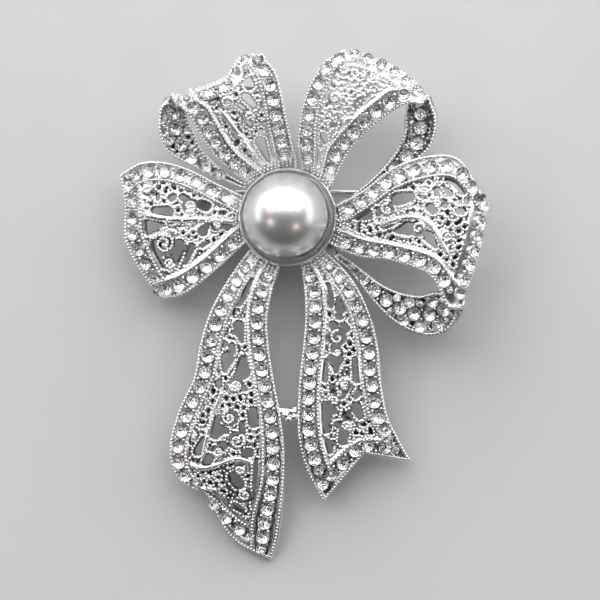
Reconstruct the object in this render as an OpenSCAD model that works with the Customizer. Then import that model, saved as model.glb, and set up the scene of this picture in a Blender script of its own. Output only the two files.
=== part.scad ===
/* [Bow] */
// Reach of the upper left loop to the left of the cup's axis
ul_w = 19.4; // [17:0.1:22]
// Reach of the upper left loop above the cup's axis
ul_h = 25.2; // [23:0.1:28]
// Reach of the upper right loop to the right
ur_w = 22.4; // [20:0.1:25]
// Reach of the upper right loop upwards
ur_h = 25.2; // [23:0.1:28]
// Reach of the right loop to the right
r_w = 30.3; // [28:0.1:33]
// Reach of the right loop downwards
r_h = 17.9; // [16.5:0.1:19.5]
// Reach of the left petal to the left
l_w = 25.5; // [23:0.1:28]
// Reach of the left petal downwards
l_h = 12.3; // [11:0.1:13.5]
// Reach of the left tail to the left
lt_w = 18; // [16:0.1:20]
// Length of the left tail
lt_h = 51.8; // [46:0.1:57]
// Reach of the right tail to the right
rt_w = 18.3; // [16.5:0.1:20]
// Length of the right tail
rt_h = 43.2; // [39:0.1:47]

/* [Heights] */
// How far the three loops rise above their roots
loop_rise = 8.5; // [7:0.1:10]
// How far the left petal rises
petal_rise = 3.6; // [3:0.1:4.5]
// How far the two tails rise, and a measure of how far their tips come down
tail_rise = 3; // [2.6:0.1:3.2]
// Radius that the outer end of a loop folds over
fold_r = 1.6; // [1.2:0.1:2.2]

/* [Cast ribbon] */
// Thickness of the cast ribbon
sheet_t = 0.9; // [0.7:0.05:1.2]
// Width of a border that carries stones
border_w = 3.3; // [3:0.1:3.8]
// Height of the rims beside the stones
rim_h = 0.3; // [0.2:0.05:0.45]
// Half width of a common gap in the lace
lace_gap = 0.6; // [0.45:0.05:0.7]
// Distance between the edge of the right tail and the bridge that ends at it
bridge_gap = 0.15; // [0.1:0.05:0.3]
// Width of the bridge between the tails
bridge_w = 1.8; // [1.4:0.1:2.4]

/* [Stones] */
// Diameter of a stone
stone_d = 2.0; // [1.7:0.05:2.1]
// Height of a stone
stone_h = 0.75; // [0.5:0.05:1]
// Distance from one stone's middle to the next
stone_pitch = 2.35; // [2.3:0.05:2.8]
// Gap under a stone
stone_gap = 0.24; // [0.2:0.01:0.3]

/* [Pearl and cup] */
// Diameter of the pearl
pearl_d = 12.5; // [11:0.1:13.5]
// Radius of the cup at its rim
cup_r = 7.35; // [7:0.05:8]
// Height of the cup's rim above its flat middle
cup_depth = 3; // [2.8:0.1:3.4]
// Wall of the cup
cup_wall = 0.6; // [0.5:0.05:0.8]
// Radius of the cup's flat middle, over the roots
cup_flat_r = 4.2; // [3.8:0.1:4.4]
// Radius of the post under the cup
cup_post_r = 1.6; // [1.2:0.1:2.2]
// Gap between the pearl and its seat
pearl_gap = 0.05; // [0.03:0.01:0.1]
// Gap between pieces that are seated on each other
seat_gap = 0.15; // [0.12:0.01:0.2]

/* [Back] */
// Radius of the foot of the base plate
foot_r = 3.3; // [2.8:0.1:3.4]
// Height of the foot
foot_h = 0.6; // [0.5:0.1:0.8]
// Radius of the flange that carries the roots
flange_r = 5.6; // [5:0.1:6]
// Thickness of the flange
flange_h = 0.6; // [0.5:0.1:0.8]
// Distance from the cup's axis up to the pin stem
stem_y = 4.05; // [4:0.05:4.4]
// Depth of the pin stem's axis behind the base plate's underside
stem_depth = 1.25; // [1.2:0.05:1.5]
// Radius of the pin stem
stem_r = 0.38; // [0.3:0.01:0.42]
// Radius of the stem's end inside the catch
point_r = 0.2; // [0.16:0.01:0.22]
// Length of the sharp end beyond the catch
point_l = 2; // [1.5:0.1:3]
// Distance of the hinge to the left of the cup's axis
hinge_x = 14; // [13:0.1:15]
// Distance of the catch to the right of the cup's axis
catch_x = 13; // [12.5:0.1:14]

/* [Hinge and catch] */
// Outer radius of the stem's eye
eye_r = 0.95; // [0.8:0.05:1]
// Width of the stem's eye
eye_w = 1.4; // [1:0.1:1.8]
// Radius of the hinge's rivet
rivet_r = 0.4; // [0.3:0.02:0.45]
// Running gap round the rivet
rivet_gap = 0.05; // [0.03:0.01:0.08]
// Gap beside the eye
eye_side_gap = 0.1; // [0.05:0.01:0.2]
// Thickness of a hinge ear
ear_t = 0.6; // [0.5:0.05:0.8]
// Radius of a hinge ear, and drop of the catch below the stem's axis
ear_r = 1; // [1:0.05:1.2]
// Radius of the posts that carry the hinge and the catch
post_r = 0.7; // [0.6:0.05:0.9]
// Gap between a post's top and the ribbon that it carries
post_gap = 0.2; // [0.15:0.01:0.3]
// Length of the catch along the stem
catch_l = 2; // [1.6:0.1:2.4]
// Gap on each side of the stem in the catch
catch_gap = 0.25; // [0.15:0.01:0.3]
// Thickness of the catch
catch_t = 0.5; // [0.4:0.05:0.6]

/* [Hidden] */

silver = [0.83, 0.84, 0.86];
plate_silver = [0.72, 0.73, 0.75];
crystal = [0.93, 0.95, 0.97];
pearl_grey = [0.82, 0.81, 0.83];

// Heights worked out from the sizes above
flange_top = foot_h + flange_h;
root_z = flange_top + seat_gap + sheet_t;
cup_z = root_z + seat_gap;
stem_z = -stem_depth;
round_fn = 64;
below = -20;
tall = 60;

// Sections of each ribbon, from its root under the cup to its outer end.
// Left and right are the hands of one who looks outwards from the pearl.
// Columns: left x, left y, middle x, middle y, right x, right y as shares of the reach,
// then left z, middle z, right z as shares of the rise.
UL = [
    [0.17, 0.11, 0.07, 0.15, -0.03, 0.16, 0, 0, 0],
    [0.34, 0.21, 0.14, 0.28, -0.08, 0.31, 0.18, 0.2, 0.18],
    [0.54, 0.34, 0.25, 0.41, -0.05, 0.43, 0.5, 0.55, 0.5],
    [0.66, 0.47, 0.32, 0.55, -0.01, 0.58, 0.75, 0.82, 0.76],
    [0.74, 0.58, 0.37, 0.67, 0.02, 0.71, 0.9, 0.98, 0.92],
    [0.81, 0.64, 0.43, 0.74, 0.06, 0.83, 0.97, 1.05, 0.98],
    [0.85, 0.67, 0.49, 0.79, 0.16, 0.92, 0.93, 1, 0.93]
];
UR = [
    [0.05, 0.155, 0.1, 0.13, 0.145, 0.1, 0, 0, 0],
    [0.09, 0.3, 0.195, 0.255, 0.28, 0.17, 0.18, 0.2, 0.18],
    [0.07, 0.43, 0.235, 0.41, 0.42, 0.38, 0.48, 0.54, 0.48],
    [0.09, 0.62, 0.31, 0.565, 0.58, 0.52, 0.74, 0.82, 0.75],
    [0.14, 0.77, 0.42, 0.71, 0.74, 0.62, 0.9, 0.98, 0.9],
    [0.25, 0.905, 0.52, 0.82, 0.85, 0.65, 0.97, 1.05, 0.97],
    [0.36, 0.95, 0.665, 0.82, 0.9, 0.64, 0.93, 1, 0.93]
];
RL = [
    [0.13, 0.02, 0.14, -0.04, 0.115, -0.12, 0, 0, 0],
    [0.24, 0.11, 0.255, -0.075, 0.22, -0.25, 0.22, 0.2, 0.18],
    [0.38, 0.225, 0.375, -0.07, 0.355, -0.345, 0.46, 0.5, 0.44],
    [0.535, 0.41, 0.515, -0.025, 0.485, -0.37, 0.72, 0.78, 0.68],
    [0.7, 0.495, 0.665, -0.01, 0.615, -0.43, 0.9, 0.98, 0.86],
    [0.85, 0.46, 0.79, -0.04, 0.72, -0.53, 0.98, 1.06, 0.96],
    [0.95, 0.17, 0.9, -0.21, 0.787, -0.765, 0.93, 1, 0.92]
];
LP = [
    [0.13, -0.17, 0.155, -0.01, 0.14, 0.145, 0, 0, 0],
    [0.25, -0.33, 0.28, -0.02, 0.27, 0.28, 0.24, 0.26, 0.24],
    [0.37, -0.56, 0.42, -0.06, 0.435, 0.44, 0.64, 0.78, 0.68],
    [0.49, -0.78, 0.56, -0.1, 0.59, 0.6, 0.8, 1.05, 0.95],
    [0.6, -0.94, 0.71, -0.14, 0.735, 0.68, 0.7, 1.1, 1],
    [0.69, -0.99, 0.86, -0.2, 0.875, 0.67, 0.35, 0.9, 0.9],
    [0.75, -0.975, 0.96, -0.28, 1, 0.535, -0.3, 0.5, 0.6]
];
LT = [
    [0.04, 0.077, 0.11, 0.07, 0.165, 0.05, 0, 0, 0],
    [0.065, 0.14, 0.2, 0.12, 0.315, 0.09, 0.36, 0.4, 0.36],
    [0.115, 0.205, 0.31, 0.19, 0.49, 0.175, 0.85, 0.95, 0.85],
    [0.16, 0.29, 0.4, 0.275, 0.64, 0.265, 0.95, 1.05, 0.95],
    [0.15, 0.375, 0.44, 0.37, 0.735, 0.365, 0.9, 1, 0.9],
    [0.11, 0.47, 0.45, 0.465, 0.79, 0.465, 0.85, 0.95, 0.8],
    [0.06, 0.565, 0.49, 0.57, 0.925, 0.565, 0.7, 0.9, 0.5],
    [0.025, 0.67, 0.55, 0.68, 1, 0.675, 0.45, 0.75, 0.2],
    [0.035, 0.79, 0.53, 0.765, 0.92, 0.762, 0.1, 0.4, -0.1],
    [0.09, 0.93, 0.51, 0.86, 0.68, 0.79, -0.6, -0.3, 0],
    [0.16, 1, 0.46, 0.925, 0.65, 0.83, -1.15, -1, -0.6]
];
RT = [
    [0.15, 0.07, 0.11, 0.083, 0.055, 0.09, 0, 0, 0],
    [0.305, 0.12, 0.205, 0.15, 0.1, 0.165, 0.34, 0.38, 0.34],
    [0.525, 0.21, 0.33, 0.235, 0.13, 0.255, 0.8, 0.9, 0.8],
    [0.67, 0.325, 0.41, 0.335, 0.14, 0.35, 0.9, 1, 0.9],
    [0.745, 0.45, 0.44, 0.45, 0.12, 0.45, 0.85, 0.95, 0.85],
    [0.77, 0.575, 0.44, 0.56, 0.09, 0.56, 0.8, 0.9, 0.8],
    [0.82, 0.69, 0.475, 0.675, 0.075, 0.665, 0.6, 0.8, 0.7],
    [0.9, 0.765, 0.55, 0.745, 0.08, 0.775, 0.3, 0.6, 0.5],
    [0.96, 0.815, 0.605, 0.8, 0.15, 0.89, -0.1, 0.4, 0.1],
    [1, 0.845, 0.62, 0.815, 0.28, 0.995, -0.5, 0.3, -0.6]
];

// Sections of the narrow back strips, from the root to the fold.
// Columns: left x, left y, right x, right y as shares of the reach, then the height's share.
UL_BACK = [
    [0.2, 0.13, 0.13, 0.16, -0.006],
    [0.375, 0.185, 0.326, 0.2, 0.165],
    [0.62, 0.262, 0.473, 0.262, 0.235],
    [0.806, 0.333, 0.574, 0.327, 0.29],
    [0.938, 0.399, 0.643, 0.387, 0.35],
    [0.992, 0.482, 0.705, 0.482, 0.41],
    [1, 0.577, 0.76, 0.577, 0.48],
    [0.969, 0.66, 0.767, 0.655, 0.58],
    [0.9, 0.73, 0.729, 0.77, 0.7]
];
UR_BACK = [
    [0.129, 0.135, 0.161, 0.099, -0.006],
    [0.25, 0.087, 0.263, 0.046, -0.008],
    [0.339, 0.073, 0.353, 0.024, 0.02],
    [0.397, 0.107, 0.429, 0.056, 0.07],
    [0.469, 0.161, 0.522, 0.107, 0.14],
    [0.554, 0.222, 0.634, 0.167, 0.24],
    [0.658, 0.315, 0.839, 0.32, 0.34],
    [0.73, 0.4, 0.953, 0.4, 0.41],
    [0.779, 0.5, 0.993, 0.482, 0.48],
    [0.785, 0.6, 1, 0.583, 0.58],
    [0.82, 0.756, 0.953, 0.685, 0.7]
];
RL_BACK = [
    [0.15, -0.075, 0.125, -0.125, -0.006],
    [0.248, -0.294, 0.233, -0.345, 0.14],
    [0.317, -0.378, 0.302, -0.437, 0.19],
    [0.386, -0.462, 0.366, -0.588, 0.24],
    [0.47, -0.563, 0.45, -0.765, 0.3],
    [0.56, -0.63, 0.554, -0.916, 0.35],
    [0.653, -0.655, 0.673, -1, 0.41],
    [0.723, -0.63, 0.772, -0.975, 0.48],
    [0.787, -0.639, 0.832, -0.857, 0.57],
    [0.872, -0.61, 0.834, -0.76, 0.7]
];

// Gaps that pierce the lace: a slot runs from one round end to another.
// Columns: x, y as shares of the reach and the half width as a share of lace_gap, twice.
UL_GAPS = [
    [0.325, 0.845, 1, 0.27, 0.76, 1],
    [0.41, 0.8, 0.9, 0.457, 0.75, 0.4],
    [0.56, 0.66, 0.6, 0.527, 0.685, 0.6],
    [0.44, 0.67, 0.6, 0.44, 0.637, 0.6],
    [0.295, 0.69, 0.9, 0.24, 0.643, 0.6],
    [0.473, 0.59, 0.5, 0.457, 0.56, 0.5],
    [0.38, 0.494, 1, 0.372, 0.452, 0.3],
    [0.2, 0.435, 1, 0.147, 0.327, 0.3],
    [0.35, 0.643, 0.4, 0.318, 0.625, 0.4],
    [0.295, 0.548, 0.4, 0.27, 0.53, 0.4]
];
UR_GAPS = [
    [0.19, 0.417, 0.4, 0.19, 0.304, 0.4],
    [0.32, 0.655, 0.5, 0.35, 0.665, 0.3],
    [0.248, 0.464, 0.7, 0.255, 0.44, 0.5],
    [0.308, 0.53, 0.5, 0.325, 0.532, 0.5],
    [0.43, 0.535, 0.3, 0.46, 0.545, 0.5],
    [0.415, 0.607, 0.3, 0.422, 0.61, 0.3],
    [0.455, 0.768, 0.3, 0.463, 0.772, 0.3],
    [0.4, 0.84, 0.3, 0.41, 0.842, 0.4],
    [0.34, 0.44, 0.3, 0.345, 0.425, 0.4],
    [0.585, 0.637, 0.3, 0.592, 0.63, 0.3]
];
RL_GAPS = [
    [0.342, 0.01, 1, 0.396, 0.01, 1],
    [0.446, 0.05, 0.5, 0.45, -0.034, 0.5],
    [0.49, 0.06, 1, 0.5, 0.045, 0.9],
    [0.54, 0.13, 1.25, 0.604, 0.143, 1.1],
    [0.475, -0.1, 0.4, 0.515, -0.075, 0.4],
    [0.594, -0.118, 1.4, 0.535, -0.135, 0.3],
    [0.653, -0.1, 0.5, 0.653, -0.12, 0.5],
    [0.698, -0.185, 1.1, 0.733, -0.27, 0.3],
    [0.792, 0.27, 0.5, 0.866, 0.2, 1],
    [0.738, 0.2, 0.6, 0.738, 0.16, 0.6],
    [0.777, 0.21, 0.8, 0.802, 0.168, 0.8],
    [0.708, 0.055, 0.9, 0.723, 0.04, 0.9],
    [0.767, 0.092, 0.8, 0.777, 0.085, 0.8],
    [0.891, 0.109, 0.6, 0.915, 0.118, 0.6],
    [0.847, 0.025, 0.6, 0.866, 0.025, 0.6]
];
LP_GAPS = [
    [0.782, 0.073, 0.7, 0.706, 0.05, 1.2],
    [0.812, -0.134, 1.6, 0.73, -0.11, 0.3],
    [0.765, 0.26, 0.4, 0.765, 0.22, 0.4],
    [0.685, 0.22, 0.6, 0.67, 0.24, 0.6],
    [0.612, 0.23, 0.7, 0.582, 0.22, 0.3],
    [0.506, 0.146, 0.9, 0.476, 0.122, 0.9],
    [0.494, -0.18, 1, 0.47, -0.11, 0.5],
    [0.425, -0.11, 0.8, 0.41, -0.11, 0.8],
    [0.359, -0.098, 0.9, 0.335, -0.122, 0.9],
    [0.635, -0.354, 1.2, 0.67, -0.573, 0.9],
    [0.565, -0.378, 0.8, 0.6, -0.56, 0.5],
    [0.782, -0.463, 1, 0.77, -0.524, 1],
    [0.676, -0.22, 0.4, 0.724, -0.256, 0.4],
    [0.5, -0.354, 0.4, 0.47, -0.317, 0.4],
    [0.741, -0.36, 0.6, 0.729, -0.37, 0.6],
    [0.735, -0.58, 0.7, 0.725, -0.59, 0.7],
    [0.741, -0.707, 0.5, 0.706, -0.72, 0.5]
];
LT_GAPS = [
    [0.3, 0.191, 1, 0.408, 0.249, 0.8],
    [0.317, 0.157, 0.45, 0.375, 0.18, 0.45],
    [0.475, 0.255, 0.9, 0.55, 0.322, 0.5],
    [0.483, 0.27, 0.9, 0.417, 0.272, 0.3],
    [0.408, 0.316, 1, 0.383, 0.362, 0.3],
    [0.4, 0.336, 1, 0.458, 0.336, 0.3],
    [0.54, 0.367, 0.6, 0.526, 0.37, 0.6],
    [0.467, 0.374, 0.5, 0.458, 0.391, 0.5],
    [0.5, 0.411, 1.3, 0.525, 0.446, 0.4],
    [0.608, 0.409, 0.6, 0.6, 0.429, 0.6],
    [0.367, 0.409, 0.6, 0.375, 0.452, 1.4],
    [0.35, 0.452, 1, 0.433, 0.461, 0.4],
    [0.583, 0.472, 0.7, 0.575, 0.49, 0.5],
    [0.375, 0.49, 0.4, 0.35, 0.5, 0.4],
    [0.783, 0.557, 0.5, 0.783, 0.586, 0.5],
    [0.85, 0.612, 0.6, 0.875, 0.649, 0.7],
    [0.7, 0.649, 0.8, 0.758, 0.681, 0.8],
    [0.608, 0.617, 1.4, 0.517, 0.62, 0.6],
    [0.608, 0.629, 1.1, 0.592, 0.58, 0.4],
    [0.517, 0.583, 0.6, 0.467, 0.577, 0.6],
    [0.292, 0.565, 1, 0.283, 0.597, 1],
    [0.383, 0.6, 0.5, 0.375, 0.623, 0.5],
    [0.42, 0.645, 0.9, 0.41, 0.651, 0.9],
    [0.575, 0.675, 0.9, 0.542, 0.664, 0.9],
    [0.35, 0.687, 0.9, 0.325, 0.684, 0.9],
    [0.667, 0.7, 0.9, 0.69, 0.718, 0.7],
    [0.25, 0.713, 0.8, 0.258, 0.786, 1],
    [0.458, 0.757, 1.1, 0.417, 0.774, 1.1],
    [0.38, 0.803, 0.9, 0.37, 0.808, 0.9],
    [0.283, 0.806, 0.7, 0.283, 0.84, 0.7],
    [0.458, 0.838, 0.5, 0.4, 0.85, 0.5]
];
RT_GAPS = [
    [0.328, 0.243, 0.7, 0.352, 0.306, 0.7],
    [0.418, 0.285, 0.4, 0.434, 0.319, 1.1],
    [0.42, 0.347, 0.6, 0.43, 0.349, 0.6],
    [0.369, 0.378, 0.8, 0.385, 0.385, 0.8],
    [0.459, 0.378, 0.6, 0.484, 0.392, 0.6],
    [0.402, 0.417, 1, 0.418, 0.42, 1],
    [0.385, 0.455, 0.7, 0.41, 0.462, 0.7],
    [0.393, 0.5, 1.6, 0.393, 0.535, 0.4],
    [0.311, 0.503, 0.5, 0.303, 0.566, 0.5],
    [0.557, 0.497, 0.6, 0.566, 0.566, 0.7],
    [0.369, 0.59, 0.5, 0.377, 0.625, 0.6],
    [0.45, 0.625, 0.4, 0.47, 0.61, 0.4],
    [0.557, 0.622, 0.6, 0.58, 0.61, 0.6],
    [0.303, 0.663, 1.2, 0.303, 0.733, 1.2],
    [0.311, 0.674, 1.1, 0.377, 0.674, 0.6],
    [0.557, 0.663, 1.1, 0.59, 0.691, 0.7],
    [0.475, 0.688, 0.9, 0.492, 0.698, 0.9],
    [0.459, 0.75, 0.9, 0.451, 0.778, 0.9],
    [0.32, 0.788, 0.9, 0.328, 0.809, 0.9],
    [0.398, 0.72, 0.5, 0.406, 0.725, 0.5],
    [0.365, 0.785, 0.4, 0.375, 0.787, 0.4]
];

// Rows of stones. Columns: u where the left row ends, u where the right row ends,
// then the [u, t] places where the row across the ribbon's end starts and ends.
UL_ROWS = [0.64, 0.64, [0.76, 0.06], [0.76, 0.94]];
UR_ROWS = [0.64, 0.64, [0.76, 0.06], [0.76, 0.94]];
RL_ROWS = [0.64, 0.64, [0.76, 0.06], [0.76, 0.94]];
LP_ROWS = [0.76, 0.84, [0.86, 0.12], [0.93, 0.93]];
LT_ROWS = [0.94, 0.88, [0.94, 0.27], [0.9, 0.8]];
RT_ROWS = [0.86, 0.88, [0.95, 0.12], [0.95, 0.88]];
rim_room = 0.15;

// Places where the row on a back strip starts and ends, and where it shows beside a loop in front
strip_from = 0.2;
strip_hidden = 0.5;
strip_to = 0.88;

// Relief across half a ribbon.
// Columns: distance from the edge as a share of the border, height as a share of rim_h.
RELIEF = [
    [0, 0], [0.03, 1], [0.11, 1], [0.14, 0.3],
    [0.86, 0.3], [0.89, 1], [0.97, 1], [1, -0.3]
];
channel_h = 0.3;

// Smooth value of a table of sections at u, which runs from 0 at the first to 1 at the last
function smooth(rows, u) =
    let (n = len(rows) - 1, k = min(floor(u * n), n - 1), f = u * n - k)
    let (a = rows[max(k - 1, 0)], b = rows[k], c = rows[k + 1], d = rows[min(k + 2, n)])
    b + (c - a) * f / 2 + (2 * a - 5 * b + 4 * c - d) * f * f / 2
    + (3 * b - a - 3 * c + d) * f * f * f / 2;

// Sections in millimetres, each one three points, from a table of shares
function sections(rows, reach, rise) = [
    for (v = rows) [
        for (k = [0:2]) [v[2 * k] * reach[0], v[2 * k + 1] * reach[1], root_z + v[6 + k] * rise]
    ]
];

// The same for a back strip, whose middle lies halfway
function strip_sections(rows, reach, rise) = sections([
    for (v = rows)
        let (mx = (v[0] + v[2]) / 2, my = (v[1] + v[3]) / 2)
        [v[0], v[1], mx, my, v[2], v[3], v[4], v[4], v[4]]
], reach, rise);

// Sections with the outer end folded over towards the direction dir
fold_steps = 3;
fold_turn = 120;
function folded(secs, dir, r) = concat(secs, [
    for (k = [1:fold_steps])
        let (a = fold_turn * k / fold_steps, out = r * sin(a), down = r * (1 - cos(a)))
        [for (p = secs[len(secs) - 1]) p + [out * cos(dir), out * sin(dir), -down]]
]);

// Point of a ribbon's upper face at u along it and t across it
function on(secs, u, t, sharp = 0) =
    let (v = smooth(secs, u))
    let (curve = v[0] * (1 - t) * (1 - 2 * t) + v[1] * 4 * t * (1 - t) + v[2] * t * (2 * t - 1))
    let (bent = t < 0.5 ? v[0] + (v[1] - v[0]) * 2 * t : v[1] + (v[2] - v[1]) * (2 * t - 1))
    [
        curve[0] * (1 - sharp) + bent[0] * sharp,
        curve[1] * (1 - sharp) + bent[1] * sharp,
        curve[2]
    ];

small = 0.01;
function unit(v) = v / norm(v);
function along(secs, u, t, sharp = 0) = unit(
    on(secs, min(u + small, 1), t, sharp) - on(secs, max(u - small, 0), t, sharp));
function normal(secs, u, t, sharp = 0) = unit(cross(
    on(secs, u, min(t + small, 1), sharp) - on(secs, u, max(t - small, 0), sharp),
    along(secs, u, t, sharp)));
function width(secs, u) = norm(on(secs, u, 1) - on(secs, u, 0.5))
    + norm(on(secs, u, 0.5) - on(secs, u, 0));

// Width of the border at u, narrower where the ribbon is narrow
border_most = 0.42;
function border(secs, u) = min(border_w, width(secs, u) * border_most);

// The relief fades out towards the root, under the cup
relief_from = 0.1;
function relief(u) = rim_h * max(0, min(1, (u - relief_from) / relief_from));

// Places across a ribbon at u, each with the height of its relief
function across(secs, u) =
    let (b = border(secs, u) / width(secs, u), h = relief(u))
    concat(
        [for (r = RELIEF) [r[0] * b, r[1] * h]],
        [[0.5, RELIEF[len(RELIEF) - 1][1] * h]],
        [for (k = [len(RELIEF) - 1:-1:0]) [1 - RELIEF[k][0] * b, RELIEF[k][1] * h]]
    );

// One ring of a ribbon: the relief on top, then the plain underside back
under_places = [1, 0.5, 0];
function ring(secs, u, sharp) = concat(
    [for (c = across(secs, u)) on(secs, u, c[0], sharp) + normal(secs, u, c[0], sharp) * c[1]],
    [for (t = under_places) on(secs, u, t, sharp) - normal(secs, u, t, sharp) * sheet_t]
);

// A closed solid through rings of points, each ring in the same order
module loft(rings) {
    n = len(rings[0]);
    m = len(rings);
    points = [for (r = rings) for (p = r) p];
    sides = [
        for (i = [0:m - 2]) for (j = [0:n - 1])
            for (f = [
                [i * n + j, (i + 1) * n + j, (i + 1) * n + (j + 1) % n],
                [i * n + j, (i + 1) * n + (j + 1) % n, i * n + (j + 1) % n]
            ]) f
    ];
    first = [for (j = [0:n - 1]) j];
    last = [for (j = [n - 1:-1:0]) (m - 1) * n + j];
    polyhedron(points, concat(sides, [first], [last]));
}

module ribbon(secs, steps, sharp = 0) {
    loft([for (i = [0:steps]) ring(secs, i / steps, sharp)]);
}

// A plain strip with a low rim along each edge
strip_rim = 0.45;
strip_rim_from = 0.25;
module strip(secs, steps) {
    loft([
        for (i = [0:steps])
            let (u = i / steps, e = min(strip_rim / width(secs, u), border_most))
            let (h = relief(u - strip_rim_from))
            concat(
                [
                    for (c = [[0, h], [e, h], [e, 0], [1 - e, 0], [1 - e, h], [1, h]])
                        on(secs, u, c[0]) + normal(secs, u, c[0]) * c[1]
                ],
                [for (t = [1, 0]) on(secs, u, t) - normal(secs, u, t) * sheet_t]
            )
    ]);
}

// The gaps of one ribbon as upright slots
gap_sides = 6;
module gaps(rows, reach) {
    for (g = rows) hull() {
        for (k = [0, 3])
            translate([g[k] * reach[0], g[k + 1] * reach[1], below])
                cylinder(r = g[k + 2] * lace_gap, h = tall, $fn = gap_sides);
    }
}

// Places for stones, one pitch apart, along a path of [u, t] places on a ribbon
function lengths(points, i = 0, sum = 0) =
    i >= len(points) ? [] : concat(
        [sum + (i > 0 ? norm(points[i] - points[i - 1]) : 0)],
        lengths(points, i + 1, sum + (i > 0 ? norm(points[i] - points[i - 1]) : 0)));
function spread(secs, path, sharp) =
    let (reached = lengths([for (p = path) on(secs, p[0], p[1], sharp)]))
    let (total = reached[len(reached) - 1], count = max(1, floor(total / stone_pitch + 0.5)))
    let (us = [for (i = [0:len(path) - 1]) [reached[i], path[i][0]]])
    let (ts = [for (i = [0:len(path) - 1]) [reached[i], path[i][1]]])
    [
        for (k = [0:count - 1])
            let (s = total * (k + 0.5) / count) [lookup(s, us), lookup(s, ts)]
    ];

// Path from one [u, t] place of a ribbon to another
path_steps = 40;
function path(a, b) = [for (i = [0:path_steps]) a + (b - a) * i / path_steps];

// Path along the middle of the left or the right border, from the cup's rim to u2
function place(secs, side, u) =
    let (e = border(secs, u) / 2 / width(secs, u)) [u, side == "left" ? e : 1 - e];
function rim_u(secs, side) = min([
    for (i = [0:path_steps])
        let (u = i / path_steps / 2, p = on(secs, u, place(secs, side, u)[1]))
        if (norm([p[0], p[1]]) > cup_r + stone_d / 2 + rim_room) u
]);
function side_path(secs, side, u2) =
    let (u1 = rim_u(secs, side))
    [for (i = [0:path_steps]) place(secs, side, u1 + (u2 - u1) * i / path_steps)];

// One cut stone: an eight-sided crown that narrows to its table
stone_sides = 8;
table_share = 0.58;
module stone(secs, u, t, share, sharp) {
    n = normal(secs, u, t, sharp);
    x = along(secs, u, t, sharp);
    y = cross(n, x);
    foot = on(secs, u, t, sharp) + n * (channel_h * rim_h + stone_gap);
    r = min(stone_d / 2, width(secs, u) * share);
    points = [
        for (level = [[r, 0], [r * table_share, stone_h]]) for (k = [0:stone_sides - 1])
            let (a = 360 * (k + 0.5) / stone_sides)
            foot + (x * cos(a) + y * sin(a)) * level[0] + n * level[1]
    ];
    hull() polyhedron(points, concat(
        [[for (k = [stone_sides - 1:-1:0]) k], [for (k = [0:stone_sides - 1]) stone_sides + k]],
        [
            for (k = [0:stone_sides - 1])
                let (next = (k + 1) % stone_sides) [k, next, stone_sides + next, stone_sides + k]
        ]
    ));
}

// Largest radius of a stone as a share of its ribbon's width
border_share = 0.14;
strip_share = 0.36;
module stones(secs, places, share, sharp = 0) {
    for (p = spread(secs, places, sharp)) stone(secs, p[0], p[1], share, sharp);
}

// Rows along both borders and across the end of a ribbon
module border_stones(secs, rows, sharp = 0) {
    stones(secs, side_path(secs, "left", rows[0]), border_share, sharp);
    stones(secs, side_path(secs, "right", rows[1]), border_share, sharp);
    stones(secs, path(rows[2], rows[3]), border_share, sharp);
}

// Reach of each ribbon as signed sizes, and its sections in millimetres
ul_reach = [-ul_w, ul_h];
ur_reach = [ur_w, ur_h];
r_reach = [r_w, r_h];
l_reach = [-l_w, l_h];
lt_reach = [-lt_w, -lt_h];
rt_reach = [rt_w, -rt_h];
ul_fold = 120;
ur_fold = 50;
r_fold = -16;
ul_front = folded(sections(UL, ul_reach, loop_rise), ul_fold, fold_r);
ur_front = folded(sections(UR, ur_reach, loop_rise), ur_fold, fold_r);
r_front = folded(sections(RL, r_reach, loop_rise), r_fold, fold_r);
ul_strip = strip_sections(UL_BACK, ul_reach, loop_rise);
ur_strip = strip_sections(UR_BACK, ur_reach, loop_rise);
r_strip = strip_sections(RL_BACK, r_reach, loop_rise);
petal = sections(LP, l_reach, petal_rise);
tail_l = sections(LT, lt_reach, tail_rise);
tail_r = sections(RT, rt_reach, tail_rise);
loop_steps = 15;
strip_steps = 14;
petal_steps = 12;
tail_steps = 18;

// Lowest height of a ribbon's underside near a place x, y
post_reach = 1.4;
search = 40;
function under(secs, x, y, r) = min([
    for (i = [0:search]) for (j = [0:search])
        let (u = i / search, t = j / search, p = on(secs, u, t) - normal(secs, u, t) * sheet_t)
        if (norm([p[0] - x, p[1] - y]) < r) p[2]
]);

module loop(front, gap_rows, reach, back) {
    color(silver) union() {
        difference() {
            ribbon(front, loop_steps);
            gaps(gap_rows, reach);
        }
        strip(back, strip_steps);
    }
}

module upper_left_loop() {
    loop(ul_front, UL_GAPS, ul_reach, ul_strip);
}

module upper_right_loop() {
    loop(ur_front, UR_GAPS, ur_reach, ur_strip);
}

module right_loop() {
    loop(r_front, RL_GAPS, r_reach, r_strip);
}

module left_petal() {
    color(silver) difference() {
        ribbon(petal, petal_steps);
        gaps(LP_GAPS, l_reach);
    }
}

// The left tail carries the bridge that stops just short of the right tail
bridge_u = 0.6;
bridge_sink = 1;
module left_tail() {
    start = on(tail_l, bridge_u, 0);
    ends = [for (i = [0:search]) on(tail_r, i / search, 1, 1)];
    far = [for (p = ends) if (abs(p[1] - start[1]) < bridge_w) p[0]];
    color(silver) union() {
        difference() {
            ribbon(tail_l, tail_steps);
            gaps(LT_GAPS, lt_reach);
        }
        translate([start[0] - bridge_sink, start[1] - bridge_w / 2, start[2] - sheet_t])
            cube([min(far) - bridge_gap - start[0] + bridge_sink, bridge_w, sheet_t]);
    }
}

module right_tail() {
    color(silver) difference() {
        ribbon(tail_r, tail_steps, 1);
        gaps(RT_GAPS, rt_reach);
    }
}

// One row runs along the middle of a back strip
module loop_stones(front, rows, back, from) {
    color(crystal) union() {
        border_stones(front, rows);
        stones(back, path([from, 0.5], [strip_to, 0.5]), strip_share);
    }
}

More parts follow.
